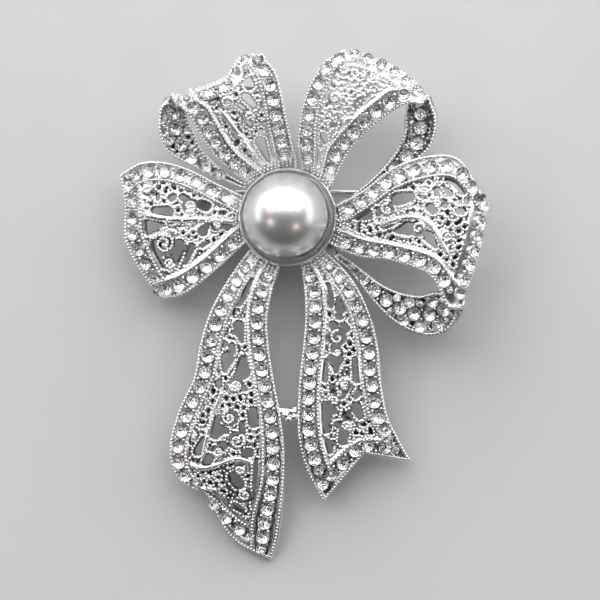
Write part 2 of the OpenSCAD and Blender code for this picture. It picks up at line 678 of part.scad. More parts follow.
module upper_left_stones() {
    loop_stones(ul_front, UL_ROWS, ul_strip, strip_from);
}

module upper_right_stones() {
    loop_stones(ur_front, UR_ROWS, ur_strip, strip_hidden);
}

module right_stones() {
    loop_stones(r_front, RL_ROWS, r_strip, strip_from);
}

module petal_stones() {
    color(crystal) border_stones(petal, LP_ROWS);
}

module left_tail_stones() {
    color(crystal) border_stones(tail_l, LT_ROWS);
}

module right_tail_stones() {
    color(crystal) border_stones(tail_r, RT_ROWS, 1);
}

// Foot, flange and the seat for the roots
module base_plate() {
    color(plate_silver) union() {
        cylinder(r = foot_r, h = foot_h, $fn = round_fn);
        translate([0, 0, foot_h]) cylinder(r = flange_r, h = flange_h, $fn = round_fn);
    }
}

// A dish on a post: flat over the roots, then a curved wall up to the rim
wall_steps = 6;
wall_curve = 1.05;
rim_lean = cup_wall / 3;
function wall(k) = [
    cup_flat_r + (cup_r - cup_flat_r) * k / wall_steps,
    cup_z + (cup_depth - cup_wall) * pow(k / wall_steps, wall_curve)
];
module pearl_cup() {
    color(silver) rotate_extrude($fn = round_fn) polygon(concat(
        [[0, flange_top + seat_gap], [cup_post_r, flange_top + seat_gap], [cup_post_r, cup_z]],
        [for (k = [0:wall_steps]) wall(k)],
        [for (k = [wall_steps:-1:0]) wall(k) + [-rim_lean, cup_wall]],
        [[0, cup_z + cup_wall]]
    ));
}

module pearl() {
    color(pearl_grey)
        translate([0, 0, cup_z + cup_wall + pearl_gap + pearl_d / 2])
            sphere(d = pearl_d, $fn = round_fn);
}

// Two ears with a rivet between them, on a post under the left petal
ear_y = eye_w / 2 + eye_side_gap;
yoke_t = 0.5;
module pin_hinge() {
    top = under(petal, -hinge_x, stem_y, post_r * post_reach) - post_gap;
    yoke_z = stem_z + eye_r + seat_gap;
    color(plate_silver) translate([-hinge_x, stem_y, 0]) union() {
        for (side = [-1, 1]) {
            translate([0, side * (ear_y + ear_t / 2), stem_z])
                rotate([90, 0, 0])
                    cylinder(r = ear_r, h = ear_t, center = true, $fn = round_fn);
            translate([-ear_r, side * (ear_y + ear_t / 2) - ear_t / 2, stem_z])
                cube([2 * ear_r, ear_t, yoke_z - stem_z + yoke_t]);
        }
        translate([-ear_r, -ear_y - ear_t, yoke_z]) cube([2 * ear_r, 2 * (ear_y + ear_t), yoke_t]);
        translate([0, 0, stem_z]) rotate([90, 0, 0])
            cylinder(r = rivet_r, h = 2 * (ear_y + ear_t / 2), center = true, $fn = round_fn);
        translate([0, 0, yoke_z]) cylinder(r = post_r, h = top - yoke_z, $fn = round_fn);
    }
}

// A channel that is open towards the back, on a post under the right loop
module pin_catch() {
    top = min(
        under(r_front, catch_x, stem_y, post_r * post_reach),
        under(ur_strip, catch_x, stem_y, post_r * post_reach)
    ) - post_gap;
    roof = stem_z + point_r + catch_gap;
    half = point_r + catch_gap;
    color(plate_silver) translate([catch_x, stem_y, 0]) union() {
        for (side = [-1, 1])
            translate([-catch_l / 2, side * (half + catch_t / 2) - catch_t / 2, stem_z - ear_r])
                cube([catch_l, catch_t, roof + catch_t - stem_z + ear_r]);
        translate([-catch_l / 2, -half - catch_t, roof]) cube([catch_l, 2 * (half + catch_t), catch_t]);
        translate([0, 0, roof]) cylinder(r = post_r, h = top - roof, $fn = round_fn);
    }
}

// The stem: an eye round the rivet, a straight shaft, a shoulder and a thinner, pointed end
point_end = 0.05;
module pin_stem() {
    shoulder = catch_x - catch_l / 2 - catch_gap;
    neck = catch_x - catch_l / 2;
    tip = catch_x + catch_l / 2;
    color(plate_silver) translate([0, stem_y, stem_z]) difference() {
        union() {
            translate([-hinge_x, 0, 0]) rotate([90, 0, 0])
                cylinder(r = eye_r, h = eye_w, center = true, $fn = round_fn);
            translate([-hinge_x, 0, 0]) rotate([0, 90, 0])
                cylinder(r = stem_r, h = hinge_x + shoulder, $fn = round_fn);
            translate([shoulder, 0, 0]) rotate([0, 90, 0])
                cylinder(r1 = stem_r, r2 = point_r, h = neck - shoulder, $fn = round_fn);
            translate([neck, 0, 0]) rotate([0, 90, 0])
                cylinder(r = point_r, h = tip - neck, $fn = round_fn);
            translate([tip, 0, 0]) rotate([0, 90, 0])
                cylinder(r1 = point_r, r2 = point_end, h = point_l, $fn = round_fn);
        }
        translate([-hinge_x, 0, 0]) rotate([90, 0, 0])
            cylinder(r = rivet_r + rivet_gap, h = 2 * eye_w, center = true, $fn = round_fn);
    }
}

base_plate();
pearl_cup();
pearl();
upper_left_loop();
upper_right_loop();
right_loop();
left_petal();
left_tail();
right_tail();
upper_left_stones();
upper_right_stones();
right_stones();
petal_stones();
left_tail_stones();
right_tail_stones();
pin_hinge();
pin_catch();
pin_stem();
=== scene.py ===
"""Looks of a bow brooch: pierced cast ribbons with grains, cut stones, a pearl in its dish."""
import math
import random

import bmesh
import bpy
import numpy as np
from mathutils import Matrix, Vector, kdtree


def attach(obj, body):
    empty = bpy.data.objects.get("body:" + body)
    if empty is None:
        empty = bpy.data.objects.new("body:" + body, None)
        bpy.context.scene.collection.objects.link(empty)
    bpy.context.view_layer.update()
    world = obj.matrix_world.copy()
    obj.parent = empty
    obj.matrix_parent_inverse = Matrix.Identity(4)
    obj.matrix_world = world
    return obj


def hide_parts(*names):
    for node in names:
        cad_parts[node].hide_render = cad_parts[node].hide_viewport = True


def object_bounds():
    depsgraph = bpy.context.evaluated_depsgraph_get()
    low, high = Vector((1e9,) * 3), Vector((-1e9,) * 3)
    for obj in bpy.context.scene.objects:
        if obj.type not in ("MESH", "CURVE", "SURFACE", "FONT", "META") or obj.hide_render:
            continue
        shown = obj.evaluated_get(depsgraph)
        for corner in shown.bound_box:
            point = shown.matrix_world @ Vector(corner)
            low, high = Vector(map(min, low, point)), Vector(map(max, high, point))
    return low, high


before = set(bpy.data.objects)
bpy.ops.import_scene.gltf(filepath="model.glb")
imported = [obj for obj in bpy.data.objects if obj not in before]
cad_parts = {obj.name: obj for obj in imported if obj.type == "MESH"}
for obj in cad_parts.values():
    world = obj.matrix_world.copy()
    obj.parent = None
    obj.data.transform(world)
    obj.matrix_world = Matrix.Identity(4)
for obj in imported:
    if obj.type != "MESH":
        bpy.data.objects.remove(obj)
cad_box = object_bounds()

# Sizes in millimetres, as in the solids
MM = 0.001
REACH = {
    "UL": (-19.4, 25.2), "UR": (22.4, 25.2), "RL": (30.3, 17.9),
    "LP": (-25.5, 12.3), "LT": (-18, -51.8), "RT": (18.3, -43.2),
}
RISE = {"UL": 8.5, "UR": 8.5, "RL": 8.5, "LP": 3.6, "LT": 3.0, "RT": 3.0}
FOLD_R, FOLD_TURN, FOLD_STEPS = 1.6, 120, 3
SHEET_T, BORDER_W, BORDER_MOST, STRIP_BORDER, STRIP_BORDER_MOST = 0.9, 3.3, 0.42, 0.75, 0.25
RIM_H, CHANNEL_H, SLOT_R = 0.3, 0.3, 0.72
STONE_D, STONE_PITCH, STONE_GAP = 2.0, 2.35, 0.24
BORDER_SHARE, STRIP_SHARE = 0.14, 0.36
PEARL_D, PEARL_GAP = 12.5, 0.05
CUP_R, CUP_DEPTH, CUP_WALL, CUP_FLAT_R, CUP_POST_R = 7.35, 3, 0.6, 4.2, 1.6
SEAT_GAP, FLANGE_TOP, RIM_ROOM = 0.15, 1.2, 0.15
ROOT_Z = FLANGE_TOP + SEAT_GAP + SHEET_T
CUP_Z = ROOT_Z + SEAT_GAP
RELIEF_FROM = 0.1
BRIDGE_U, BRIDGE_W = 0.6, 1.8

# Shapes as in the solids, in thousandths of each ribbon's reach and rise, and of the radius of a slot
# Sections from the root: x, y of the left edge, the middle and the right edge, and their heights
FRONT_ROWS = {
    "UL": [
        [170, 110, 70, 150, -30, 160, 0, 0, 0], [340, 210, 140, 280, -80, 310, 180, 200, 180],
        [540, 340, 250, 410, -50, 430, 500, 550, 500], [660, 470, 320, 550, -10, 580, 750, 820, 760],
        [740, 580, 370, 670, 20, 710, 900, 980, 920], [810, 640, 416, 717, 60, 830, 970, 1050, 980],
        [845, 660, 461, 743, 160, 920, 930, 1000, 930],
    ],
    "UR": [
        [50, 155, 100, 130, 145, 100, 0, 0, 0], [90, 300, 195, 255, 280, 170, 180, 200, 180],
        [70, 430, 235, 410, 420, 380, 480, 540, 480], [105, 620, 310, 565, 580, 520, 740, 820, 750],
        [165, 770, 420, 710, 740, 620, 900, 980, 900], [265, 900, 520, 820, 850, 650, 970, 1050, 970],
        [360, 950, 665, 820, 900, 640, 930, 1000, 930],
    ],
    "RL": [
        [130, 20, 140, -40, 115, -120, 0, 0, 0], [240, 110, 255, -75, 220, -250, 220, 200, 180],
        [380, 225, 375, -70, 355, -345, 460, 500, 440], [535, 410, 515, -25, 485, -370, 720, 780, 680],
        [700, 495, 665, -10, 615, -430, 900, 980, 860], [850, 460, 790, -40, 720, -530, 980, 1060, 960],
        [950, 170, 900, -210, 787, -765, 930, 1000, 920],
    ],
    "LP": [
        [130, -170, 155, -10, 140, 145, 0, 0, 0], [250, -330, 280, -20, 270, 280, 240, 260, 240],
        [370, -560, 420, -60, 435, 440, 640, 780, 680], [490, -780, 560, -100, 590, 600, 800, 1050, 950],
        [600, -940, 710, -140, 735, 680, 700, 1100, 1000],
        [690, -990, 860, -200, 875, 670, 350, 900, 900],
        [750, -975, 960, -280, 1000, 535, -300, 500, 600],
    ],
    "LT": [
        [40, 77, 110, 70, 165, 50, 0, 0, 0], [65, 140, 200, 120, 315, 90, 360, 400, 360],
        [115, 205, 310, 190, 490, 175, 850, 950, 850], [160, 290, 400, 275, 640, 265, 950, 1050, 950],
        [150, 375, 440, 370, 735, 365, 900, 1000, 900], [110, 470, 450, 465, 790, 465, 850, 950, 800],
        [60, 565, 490, 570, 925, 565, 700, 900, 500], [25, 670, 550, 680, 1000, 675, 450, 750, 200],
        [35, 790, 530, 765, 920, 762, 100, 400, -100], [90, 930, 510, 860, 680, 790, -600, -300, 0],
        [160, 1000, 460, 925, 650, 830, -1150, -1000, -600],
    ],
    "RT": [
        [150, 70, 110, 83, 55, 90, 0, 0, 0], [305, 120, 205, 150, 100, 165, 340, 380, 340],
        [525, 210, 330, 235, 130, 255, 800, 900, 800], [670, 325, 410, 335, 140, 350, 900, 1000, 900],
        [745, 450, 440, 450, 120, 450, 850, 950, 850], [770, 575, 440, 560, 90, 560, 800, 900, 800],
        [820, 690, 475, 675, 75, 665, 600, 800, 700], [900, 765, 550, 745, 80, 775, 300, 600, 500],
        [960, 815, 605, 800, 150, 890, -100, 400, 100], [1000, 845, 620, 815, 280, 995, -500, 300, -600],
    ],
}
# Sections of the back strips: x, y of both edges, height
BACK_ROWS = {
    "UL": [
        [200, 130, 130, 160, -6], [375, 185, 326, 200, 165], [620, 262, 473, 262, 235],
        [806, 333, 574, 327, 290], [938, 399, 643, 387, 350], [992, 482, 705, 482, 410],
        [1000, 577, 760, 577, 480], [969, 660, 767, 655, 580], [875, 675, 729, 710, 700],
    ],
    "UR": [
        [129, 135, 161, 99, -6], [250, 87, 263, 46, -8], [339, 73, 353, 24, 20], [397, 107, 429, 56, 70],
        [469, 161, 522, 107, 140], [554, 222, 634, 167, 240], [658, 315, 839, 320, 340],
        [730, 400, 953, 400, 410], [779, 500, 993, 482, 480], [785, 600, 1000, 583, 580],
        [820, 756, 953, 685, 700],
    ],
    "RL": [
        [150, -75, 125, -125, -6], [248, -294, 233, -345, 140], [317, -378, 302, -437, 190],
        [386, -462, 366, -588, 240], [470, -563, 450, -765, 300], [560, -630, 554, -916, 350],
        [653, -655, 673, -1000, 410], [723, -630, 772, -975, 480], [787, -639, 832, -857, 570],
        [872, -610, 834, -760, 700],
    ],
}
# Open spaces: x, y and radius of both ends
GAPS = {
    "UL": [
        [325, 845, 1000, 270, 760, 1000], [410, 800, 900, 457, 750, 400], [560, 660, 600, 527, 685, 600],
        [440, 670, 600, 440, 637, 600], [295, 690, 900, 240, 643, 600], [473, 590, 500, 457, 560, 500],
        [380, 494, 1000, 372, 452, 300], [200, 435, 1000, 147, 327, 300], [350, 643, 400, 318, 625, 400],
        [295, 548, 400, 270, 530, 400],
    ],
    "UR": [
        [190, 417, 400, 190, 304, 400], [320, 655, 500, 350, 665, 300], [248, 464, 700, 255, 440, 500],
        [308, 530, 500, 325, 532, 500], [430, 535, 300, 460, 545, 500], [415, 607, 300, 422, 610, 300],
        [455, 768, 300, 463, 772, 300], [400, 840, 300, 410, 842, 400], [340, 440, 300, 345, 425, 400],
        [585, 637, 300, 592, 630, 300],
    ],
    "RL": [
        [342, 10, 1000, 396, 10, 1000], [446, 50, 500, 450, -34, 500], [490, 60, 1000, 500, 45, 900],
        [540, 130, 1250, 604, 143, 1100], [475, -100, 400, 515, -75, 400],
        [594, -118, 1400, 535, -135, 300], [653, -100, 500, 653, -120, 500],
        [698, -185, 1100, 733, -270, 300], [792, 270, 500, 866, 200, 1000],
        [738, 200, 600, 738, 160, 600], [777, 210, 800, 802, 168, 800], [708, 55, 900, 723, 40, 900],
        [767, 92, 800, 777, 85, 800], [891, 109, 600, 915, 118, 600], [847, 25, 600, 866, 25, 600],
    ],
    "LP": [
        [782, 73, 700, 706, 50, 1200], [812, -134, 1600, 730, -110, 300], [765, 260, 400, 765, 220, 400],
        [685, 220, 600, 670, 240, 600], [612, 230, 700, 582, 220, 300], [506, 146, 900, 476, 122, 900],
        [494, -180, 1000, 470, -110, 500], [425, -110, 800, 410, -110, 800],
        [359, -98, 900, 335, -122, 900], [635, -354, 1200, 670, -573, 900],
        [565, -378, 800, 600, -560, 500], [782, -463, 1000, 770, -524, 1000],
        [676, -220, 400, 724, -256, 400], [500, -354, 400, 470, -317, 400],
        [741, -360, 600, 729, -370, 600], [735, -580, 700, 725, -590, 700],
        [741, -707, 500, 706, -720, 500],
    ],
    "LT": [
        [300, 191, 1000, 408, 249, 800], [317, 157, 450, 375, 180, 450], [475, 255, 900, 550, 322, 500],
        [483, 270, 900, 417, 272, 300], [408, 316, 1000, 383, 362, 300], [400, 336, 1000, 458, 336, 300],
        [540, 367, 600, 526, 370, 600], [467, 374, 500, 458, 391, 500], [500, 411, 1300, 525, 446, 400],
        [608, 409, 600, 600, 429, 600], [367, 409, 600, 375, 452, 1400], [350, 452, 1000, 433, 461, 400],
        [583, 472, 700, 575, 490, 500], [375, 490, 400, 350, 500, 400], [783, 557, 500, 783, 586, 500],
        [850, 612, 600, 875, 649, 700], [700, 649, 800, 758, 681, 800], [608, 617, 1400, 517, 620, 600],
        [608, 629, 1100, 592, 580, 400], [517, 583, 600, 467, 577, 600], [292, 565, 1000, 283, 597, 1000],
        [383, 600, 500, 375, 623, 500], [420, 645, 900, 410, 651, 900], [575, 675, 900, 542, 664, 900],
        [350, 687, 900, 325, 684, 900], [667, 700, 900, 690, 718, 700], [250, 713, 800, 258, 786, 1000],
        [458, 757, 1100, 417, 774, 1100], [380, 803, 900, 370, 808, 900], [283, 806, 700, 283, 840, 700],
        [458, 838, 500, 400, 850, 500],
    ],
    "RT": [
        [328, 243, 700, 352, 306, 700], [418, 285, 400, 434, 319, 1100], [420, 347, 600, 430, 349, 600],
        [369, 378, 800, 385, 385, 800], [459, 378, 600, 484, 392, 600], [402, 417, 1000, 418, 420, 1000],
        [385, 455, 700, 410, 462, 700], [393, 500, 1600, 393, 535, 400], [311, 503, 500, 303, 566, 500],
        [557, 497, 600, 566, 566, 700], [369, 590, 500, 377, 625, 600], [450, 625, 400, 470, 610, 400],
        [557, 622, 600, 580, 610, 600], [303, 663, 1200, 303, 733, 1200], [311, 674, 1100, 377, 674, 600],
        [557, 663, 1100, 590, 691, 700], [475, 688, 900, 492, 698, 900], [459, 750, 900, 451, 778, 900],
        [320, 788, 900, 328, 809, 900], [398, 720, 500, 406, 725, 500], [365, 785, 400, 375, 787, 400],
    ],
}
# Rows of stones: how far along the left and the right edge they run, and the ends of the row across
END_ROWS = {
    "UL": (0.61, 0.61, [0.7, 0.06], [0.7, 0.89]),
    "UR": (0.64, 0.64, [0.76, 0.06], [0.76, 0.94]),
    "RL": (0.64, 0.64, [0.76, 0.06], [0.76, 0.94]),
    "LP": (0.76, 0.84, [0.86, 0.12], [0.93, 0.93]),
    "LT": (0.94, 0.87, [0.925, 0.27], [0.888, 0.8]),
    "RT": (0.79, 0.88, [0.87, 0.12], [0.94, 0.88]),
}
# Coils in the lace. Columns: x, y, radius, turns, angle of the outer end, +1 anticlockwise inwards
SCROLLS = {
    "UL": [(-8.6, 16.6, 1.15, 1.2, 30, 1), (-11.8, 14.3, 1.2, 1.4, 200, -1),
           (-14.4, 16.6, 1.1, 1.3, 90, 1), (-5.4, 14.6, 1.0, 1.3, 300, 1)],
    "UR": [(13.4, 15.8, 1.3, 1.5, 270, 1), (9.5, 13.6, 1.1, 1.4, 180, -1), (7.4, 17.2, 1.05, 1.3, 0, 1),
           (8.7, 21.4, 1.1, 1.4, 120, -1), (7.6, 11.4, 1.1, 1.3, 60, 1),
           (13.2, 20.2, 1.2, 1.5, 210, 1)],
    "RL": [(14.9, 0.9, 1.15, 1.0, 90, 1), (19.7, -2.1, 1.25, 1.1, 0, 1), (20.5, 3.2, 1.0, 1.3, 180, -1),
           (24.0, -3.3, 1.1, 1.4, 90, 1), (22.4, 1.6, 0.85, 1.0, 270, 1)],
    "LP": [(-18.5, -4.0, 1.9, 1.9, 150, -1), (-17.7, -6.9, 1.1, 1.3, 330, -1),
           (-10.5, -1.2, 0.85, 1.0, 90, 1), (-14.6, 1.6, 1.2, 1.4, 240, 1),
           (-21.2, 4.2, 1.1, 1.3, 120, -1)],
    "LT": [(-8.8, -30.1, 1.35, 1.3, 100, 1), (-7.6, -33.6, 1.45, 1.4, 60, -1),
           (-10.5, -35.2, 1.0, 1.2, 200, 1), (-6.6, -41.8, 1.2, 1.3, 90, 1),
           (-7.8, -25.3, 1.2, 1.5, 180, 1), (-10.9, -23.8, 0.95, 1.2, 0, -1),
           (-14.3, -32.6, 0.95, 1.2, 150, 1), (-7.3, -37.9, 1.0, 1.2, 20, -1)],
    "RT": [(7.5, -18.1, 1.4, 1.0, 90, 1), (7.4, -20.3, 0.9, 1.0, 200, 1), (8.6, -25.4, 0.9, 1.1, 60, 1),
           (6.9, -27.6, 1.0, 1.3, 180, -1), (8.7, -31.4, 1.1, 1.3, 300, 1)],
}
# Recesses in the lace besides the gaps, which the painted shade of the relief makes dark, in the gaps'
# columns but as sizes
RECESSES = {
    "UL": [(-9.2, 18.9, 0.25, -8.4, 19.4, 0.35), (-7.5, 10.6, 0.3, -6.9, 11.2, 0.4)],
    "UR": [(6.6, 19.4, 0.2, 7.2, 19.0, 0.25), (6.0, 16.2, 0.2, 6.6, 16.4, 0.2)],
    "RL": [(11.8, 3.8, 0.3, 12.6, 4.4, 0.3)],
    "LP": [(-20.8, 3.0, 0.3, -19.9, 3.5, 0.3)],
    "LT": [(-8.2, -13.7, 0.25, -7.9, -15.0, 0.3), (-5.6, -15.7, 0.25, -5.5, -17.4, 0.3)],
    "RT": [],
}
# Bands in the lace. Columns: places x, y along it, width, and kind: smooth, grained or double
BANDS = {
    "UL": [([(-9.4, 15.2), (-6.3, 11.2), (-3.8, 7.6)], 0.9, "smooth"),
           ([(-10, 18.2), (-8, 18.7), (-6, 18.6), (-3.9, 18.1)], 1.1, "double")],
    "UR": [([(6.2, 12.4), (7.6, 13.9), (9.6, 15.6), (12.2, 17.6)], 1.0, "double"),
           ([(5.9, 22), (8.4, 19.4), (11.2, 18.8)], 0.8, "grained")],
    "RL": [([(12.8, -0.9), (15.6, 0), (17.5, 1), (19.8, 2), (22.8, 2.2), (25.5, 2.1)], 1.1, "double"),
           ([(14.4, -1.4), (16.8, -0.4), (19.5, -0.2), (21.6, -1.4), (23.1, -3.9), (24, -5.7)], 0.9,
            "smooth"),
           ([(22, 4.9), (24.6, 4.2), (26.2, 1.8)], 0.8, "grained")],
    "LP": [([(-21.2, 0.3), (-17, -0.5), (-12.5, -0.3), (-8, -0.7)], 1.0, "smooth"),
           ([(-21.2, -3.6), (-20, -2.4), (-17.7, -1.7), (-14.2, -1.4)], 0.9, "double"),
           ([(-15, -4.4), (-16, -6.4), (-17, -8.6)], 0.9, "double"),
           ([(-12.9, -5.0), (-13.8, -6.7), (-14.9, -8.4)], 0.7, "grained")],
    "LT": [([(-15, -37.2), (-12.5, -37.8), (-9.9, -36.9), (-7.5, -36), (-5.4, -36.9)], 0.7, "smooth"),
           ([(-9.9, -26.4), (-11.2, -29.5), (-12, -32.5), (-12.9, -36)], 0.8, "smooth"),
           ([(-9.5, -37.2), (-9, -39.2), (-8.7, -42)], 0.6, "grained"),
           ([(-6.4, -13.6), (-8.2, -15.3), (-9.9, -17.4)], 0.8, "grained"),
           ([(-9.2, -18), (-7.4, -19.2), (-6.6, -20.8)], 0.7, "grained")],
    "RT": [([(6.3, -22.2), (7.6, -24.2), (9, -26.4)], 0.8, "grained"),
           ([(9.6, -22.4), (8, -24.4), (6.6, -26.2)], 0.8, "grained"),
           ([(6.4, -31.2), (7.9, -29.4), (9.4, -28.6)], 0.7, "grained"),
           ([(8.2, -29.2), (9.6, -31), (11, -32)], 0.6, "grained")],
}


# Ribbon surfaces. A place on a ribbon is [u, t]: along it from its root, and across it from its left edge
PATH_STEPS, NEAR, VERY_NEAR = 40, 0.01, 0.004


def smooth(rows, u):
    """Smooth value of a table of sections at u, from 0 at the first to 1 at the last."""
    n = len(rows) - 1
    x = np.clip(u, 0, 1) * n
    k = np.minimum(np.floor(x).astype(int), n - 1)
    f = (x - k)[..., None, None]
    a, b = rows[np.maximum(k - 1, 0)], rows[k]
    c, d = rows[k + 1], rows[np.minimum(k + 2, n)]
    return (b + (c - a) * f / 2 + (2 * a - 5 * b + 4 * c - d) * f * f / 2
            + (3 * b - a - 3 * c + d) * f ** 3 / 2)


def shares(rows):
    return np.array(rows) / 1000


def sections(rows, reach, rise):
    """Left edge, middle and right edge of each section, in millimetres."""
    return np.concatenate([rows[:, :6].reshape(-1, 3, 2) * reach, ROOT_Z + rows[:, 6:, None] * rise], 2)


def strip_sections(rows, reach, rise):
    """The same for a strip, which is straight and level across."""
    a, b, c, d, z = rows.T
    return sections(np.stack([a, b, (a + c) / 2, (b + d) / 2, c, d, z, z, z], 1), reach, rise)


def folded(secs, direction, r, share):
    """Sections with the outer end folded over towards a direction, at a share of r on each line."""
    out, a = [secs], math.radians(direction)
    for k in range(1, FOLD_STEPS + 1):
        b = math.radians(FOLD_TURN * k / FOLD_STEPS)
        step = [r * math.sin(b) * math.cos(a), r * math.sin(b) * math.sin(a), -r * (1 - math.cos(b))]
        out.append(secs[-1:] + np.array(step) * np.array(share)[None, :, None])
    return np.concatenate(out)


def on(secs, u, t, sharp=0):
    """Point of a ribbon's upper face. Two more lines of a section swell a part of its outer edge:
    how far, and where across it (centre, half-width)."""
    u, t = np.broadcast_arrays(np.asarray(u, float), np.asarray(t, float))
    v = smooth(secs, u)
    v0, v1, v2 = v[..., 0, :], v[..., 1, :], v[..., 2, :]
    t = t[..., None]
    p = v0 * (1 - t) * (1 - 2 * t) + v1 * 4 * t * (1 - t) + v2 * t * (2 * t - 1)
    if sharp:
        bent = np.where(t < 0.5, v0 + (v1 - v0) * 2 * t, v1 + (v2 - v1) * (2 * t - 1))
        p[..., :2] = bent[..., :2]
    if secs.shape[1] > 3:
        p = p + v[..., 3, :] * np.clip(1 - ((t - v[..., 4, :1]) / v[..., 4, 1:2]) ** 2, 0, 1) ** 2
    return p


def length(v):
    return np.linalg.norm(v, axis=-1)


def unit(v):
    return v / np.maximum(np.linalg.norm(v, axis=-1, keepdims=True), 1e-9)


def along(secs, u, t, sharp=0, small=NEAR):
    ahead, behind = np.minimum(u + small, 1), np.maximum(u - small, 0)
    return unit(on(secs, ahead, t, sharp) - on(secs, behind, t, sharp))


def normal(secs, u, t, sharp=0, small=NEAR):
    side = on(secs, u, np.minimum(t + small, 1), sharp) - on(secs, u, np.maximum(t - small, 0), sharp)
    return unit(np.cross(side, along(secs, u, t, sharp, small)))


def width(secs, u):
    u = np.asarray(u, float)
    a, b, c = on(secs, u, 0), on(secs, u, 0.5), on(secs, u, 1)
    return length(c - b) + length(b - a)


def border(secs, u):
    return np.minimum(BORDER_W, width(secs, u) * BORDER_MOST)


def strip_border(secs, u):
    return np.minimum(STRIP_BORDER, width(secs, u) * STRIP_BORDER_MOST)


def travelled(p):
    """Distance along a line of points at each of them, or along a band of such lines at its longest."""
    steps = length(np.diff(p, axis=0))
    if steps.ndim > 1:
        steps = steps.max(1)
    return np.concatenate([[0], np.cumsum(steps)])


def evenly(values, reached, pitch):
    """Rows of values one pitch apart, from the distance reached at each row."""
    n = max(1, math.floor(reached[-1] / pitch + 0.5))
    s = reached[-1] * (np.arange(n) + 0.5) / n
    return np.stack([np.interp(s, reached, v) for v in values.T], 1)


def spread(secs, line, sharp, pitch):
    """Places one pitch apart along a line of places."""
    line = np.asarray(line, float)
    return evenly(line, travelled(on(secs, *line.T, sharp)), pitch)


def resample(p, pitch):
    return evenly(p, travelled(p), pitch)


def path(a, b):
    return np.linspace(a, b, PATH_STEPS + 1)


def edge_line(secs, side, u, share, border_of=border):
    """Places at a share of the border's width in from the left or the right edge."""
    e = border_of(secs, u) * share / width(secs, u)
    return np.stack([u, e if side == "left" else 1 - e], -1)


def side_path(secs, side, u2, u1=None):
    """The middle of one border, from u1 or else from just outside the dish."""
    if u1 is None:
        u = np.arange(PATH_STEPS + 1) / PATH_STEPS / 2
        p = on(secs, *edge_line(secs, side, u, 0.5).T)
        u1 = u[np.hypot(p[:, 0], p[:, 1]) > CUP_R + STONE_D / 2 + RIM_ROOM].min()
    return edge_line(secs, side, np.linspace(u1, u2, PATH_STEPS + 1), 0.5)


# Meshes
def new_piece(name, verts, faces, material, body="bow", slot="cast_metal", smooth_angle=None):
    me = bpy.data.meshes.new(name)
    me.from_pydata((np.asarray(verts) * MM).tolist(), [], faces)
    me.materials.append(material)
    me.update()
    if smooth_angle is not None:
        me.polygons.foreach_set("use_smooth", np.ones(len(me.polygons), bool))
        me.set_sharp_from_angle(angle=math.radians(smooth_angle))
    ob = bpy.data.objects.new(name, me)
    bpy.context.scene.collection.objects.link(ob)
    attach(ob, body)
    return ob


def mesh_of(bm):
    """Vertices and faces of a bmesh, which is then freed."""
    bm.verts.index_update()
    out = [tuple(v.co) for v in bm.verts], [[v.index for v in f.verts] for f in bm.faces]
    bm.free()
    return out


def ring(r, z, sides, turn=0.0):
    """Places round the axis, from the part of a step that the ring is turned by."""
    angles = [2 * math.pi * (k + turn) / sides for k in range(sides)]
    return [(r * math.cos(a), r * math.sin(a), z) for a in angles]


def ring_faces(rings, sides):
    """Quads between rings of vertices that follow each other."""
    return [[i + k, i + sides + k, i + sides + (k + 1) % sides, i + (k + 1) % sides]
            for i in range(0, (rings - 1) * sides, sides) for k in range(sides)]


def frames(n, x=None):
    """A right-handed set of axes at each normal."""
    n = unit(n)
    if x is None:
        x = np.where(np.abs(n[:, :1]) < 0.8, [[1.0, 0, 0]], [[0, 1.0, 0]])
    x = unit(x - n * (x * n).sum(1, keepdims=True))
    return x, np.cross(n, x), n


def copies(template, faces, centres, axes, scales):
    """Many copies of a small mesh as one: vertices and faces."""
    t = np.asarray(template, float)
    s = np.asarray(scales, float).reshape(len(centres), -1)
    s = np.broadcast_to(s, (len(centres), 3))
    v = centres[:, None]
    for k in range(3):
        v = v + axes[k][:, None] * (t[None, :, k:k + 1] * s[:, None, k:k + 1])
    out = []
    for f in faces:
        out += (np.asarray(f)[None] + len(t) * np.arange(len(centres))[:, None]).tolist()
    return v.reshape(-1, 3), out


# A grain of radius 1: a low dome. Columns of its rings: height, radius
GRAIN_SIDES, CUP_HIDES = 6, 0.3
GRAIN_RINGS = [(-0.5, 1.0), (0.25, 0.95), (0.72, 0.62)]


def grain_template():
    verts = [p for i, (z, r) in enumerate(GRAIN_RINGS) for p in ring(r, z, GRAIN_SIDES, i / 2)]
    verts.append((0, 0, 1))
    faces = []
    for a, b, c, d in ring_faces(len(GRAIN_RINGS), GRAIN_SIDES):
        faces += [[a, d, b], [d, c, b]]
    a = (len(GRAIN_RINGS) - 1) * GRAIN_SIDES
    faces += [[a + k, a + (k + 1) % GRAIN_SIDES, len(verts) - 1] for k in range(GRAIN_SIDES)]
    return verts, faces


GRAIN = grain_template()


def grains(name, sets, material):
    """One piece of all the grains given as (points, normals, radii), apart from those under the dish."""
    p = np.concatenate([s[0] for s in sets])
    n = np.concatenate([s[1] for s in sets])
    r = np.concatenate([np.broadcast_to(np.asarray(s[2], float), (len(s[0]),)) for s in sets])
    keep = np.hypot(p[:, 0], p[:, 1]) > CUP_R - CUP_HIDES
    p, n, r = p[keep], n[keep], r[keep]
    return new_piece(name, *copies(*GRAIN, p, frames(n), r), material, smooth_angle=75)


# Relief across a border, from its outer edge. Columns: share of its width, height
BORDER_RELIEF = [
    (0, -0.14), (0.03, 0.06), (0.07, 0.17), (0.11, 0.2), (0.15, 0.17), (0.19, 0),
    (0.22, -0.16), (0.3, -0.2), (0.5, -0.21), (0.7, -0.2), (0.78, -0.16),
    (0.81, 0), (0.85, 0.17), (0.89, 0.2), (0.94, 0.14), (1, -0.12),
]
STRIP_RELIEF = [(0, -0.14), (0.12, 0.06), (0.3, 0.17), (0.5, 0.2), (0.7, 0.17), (0.85, 0), (1, -0.15)]
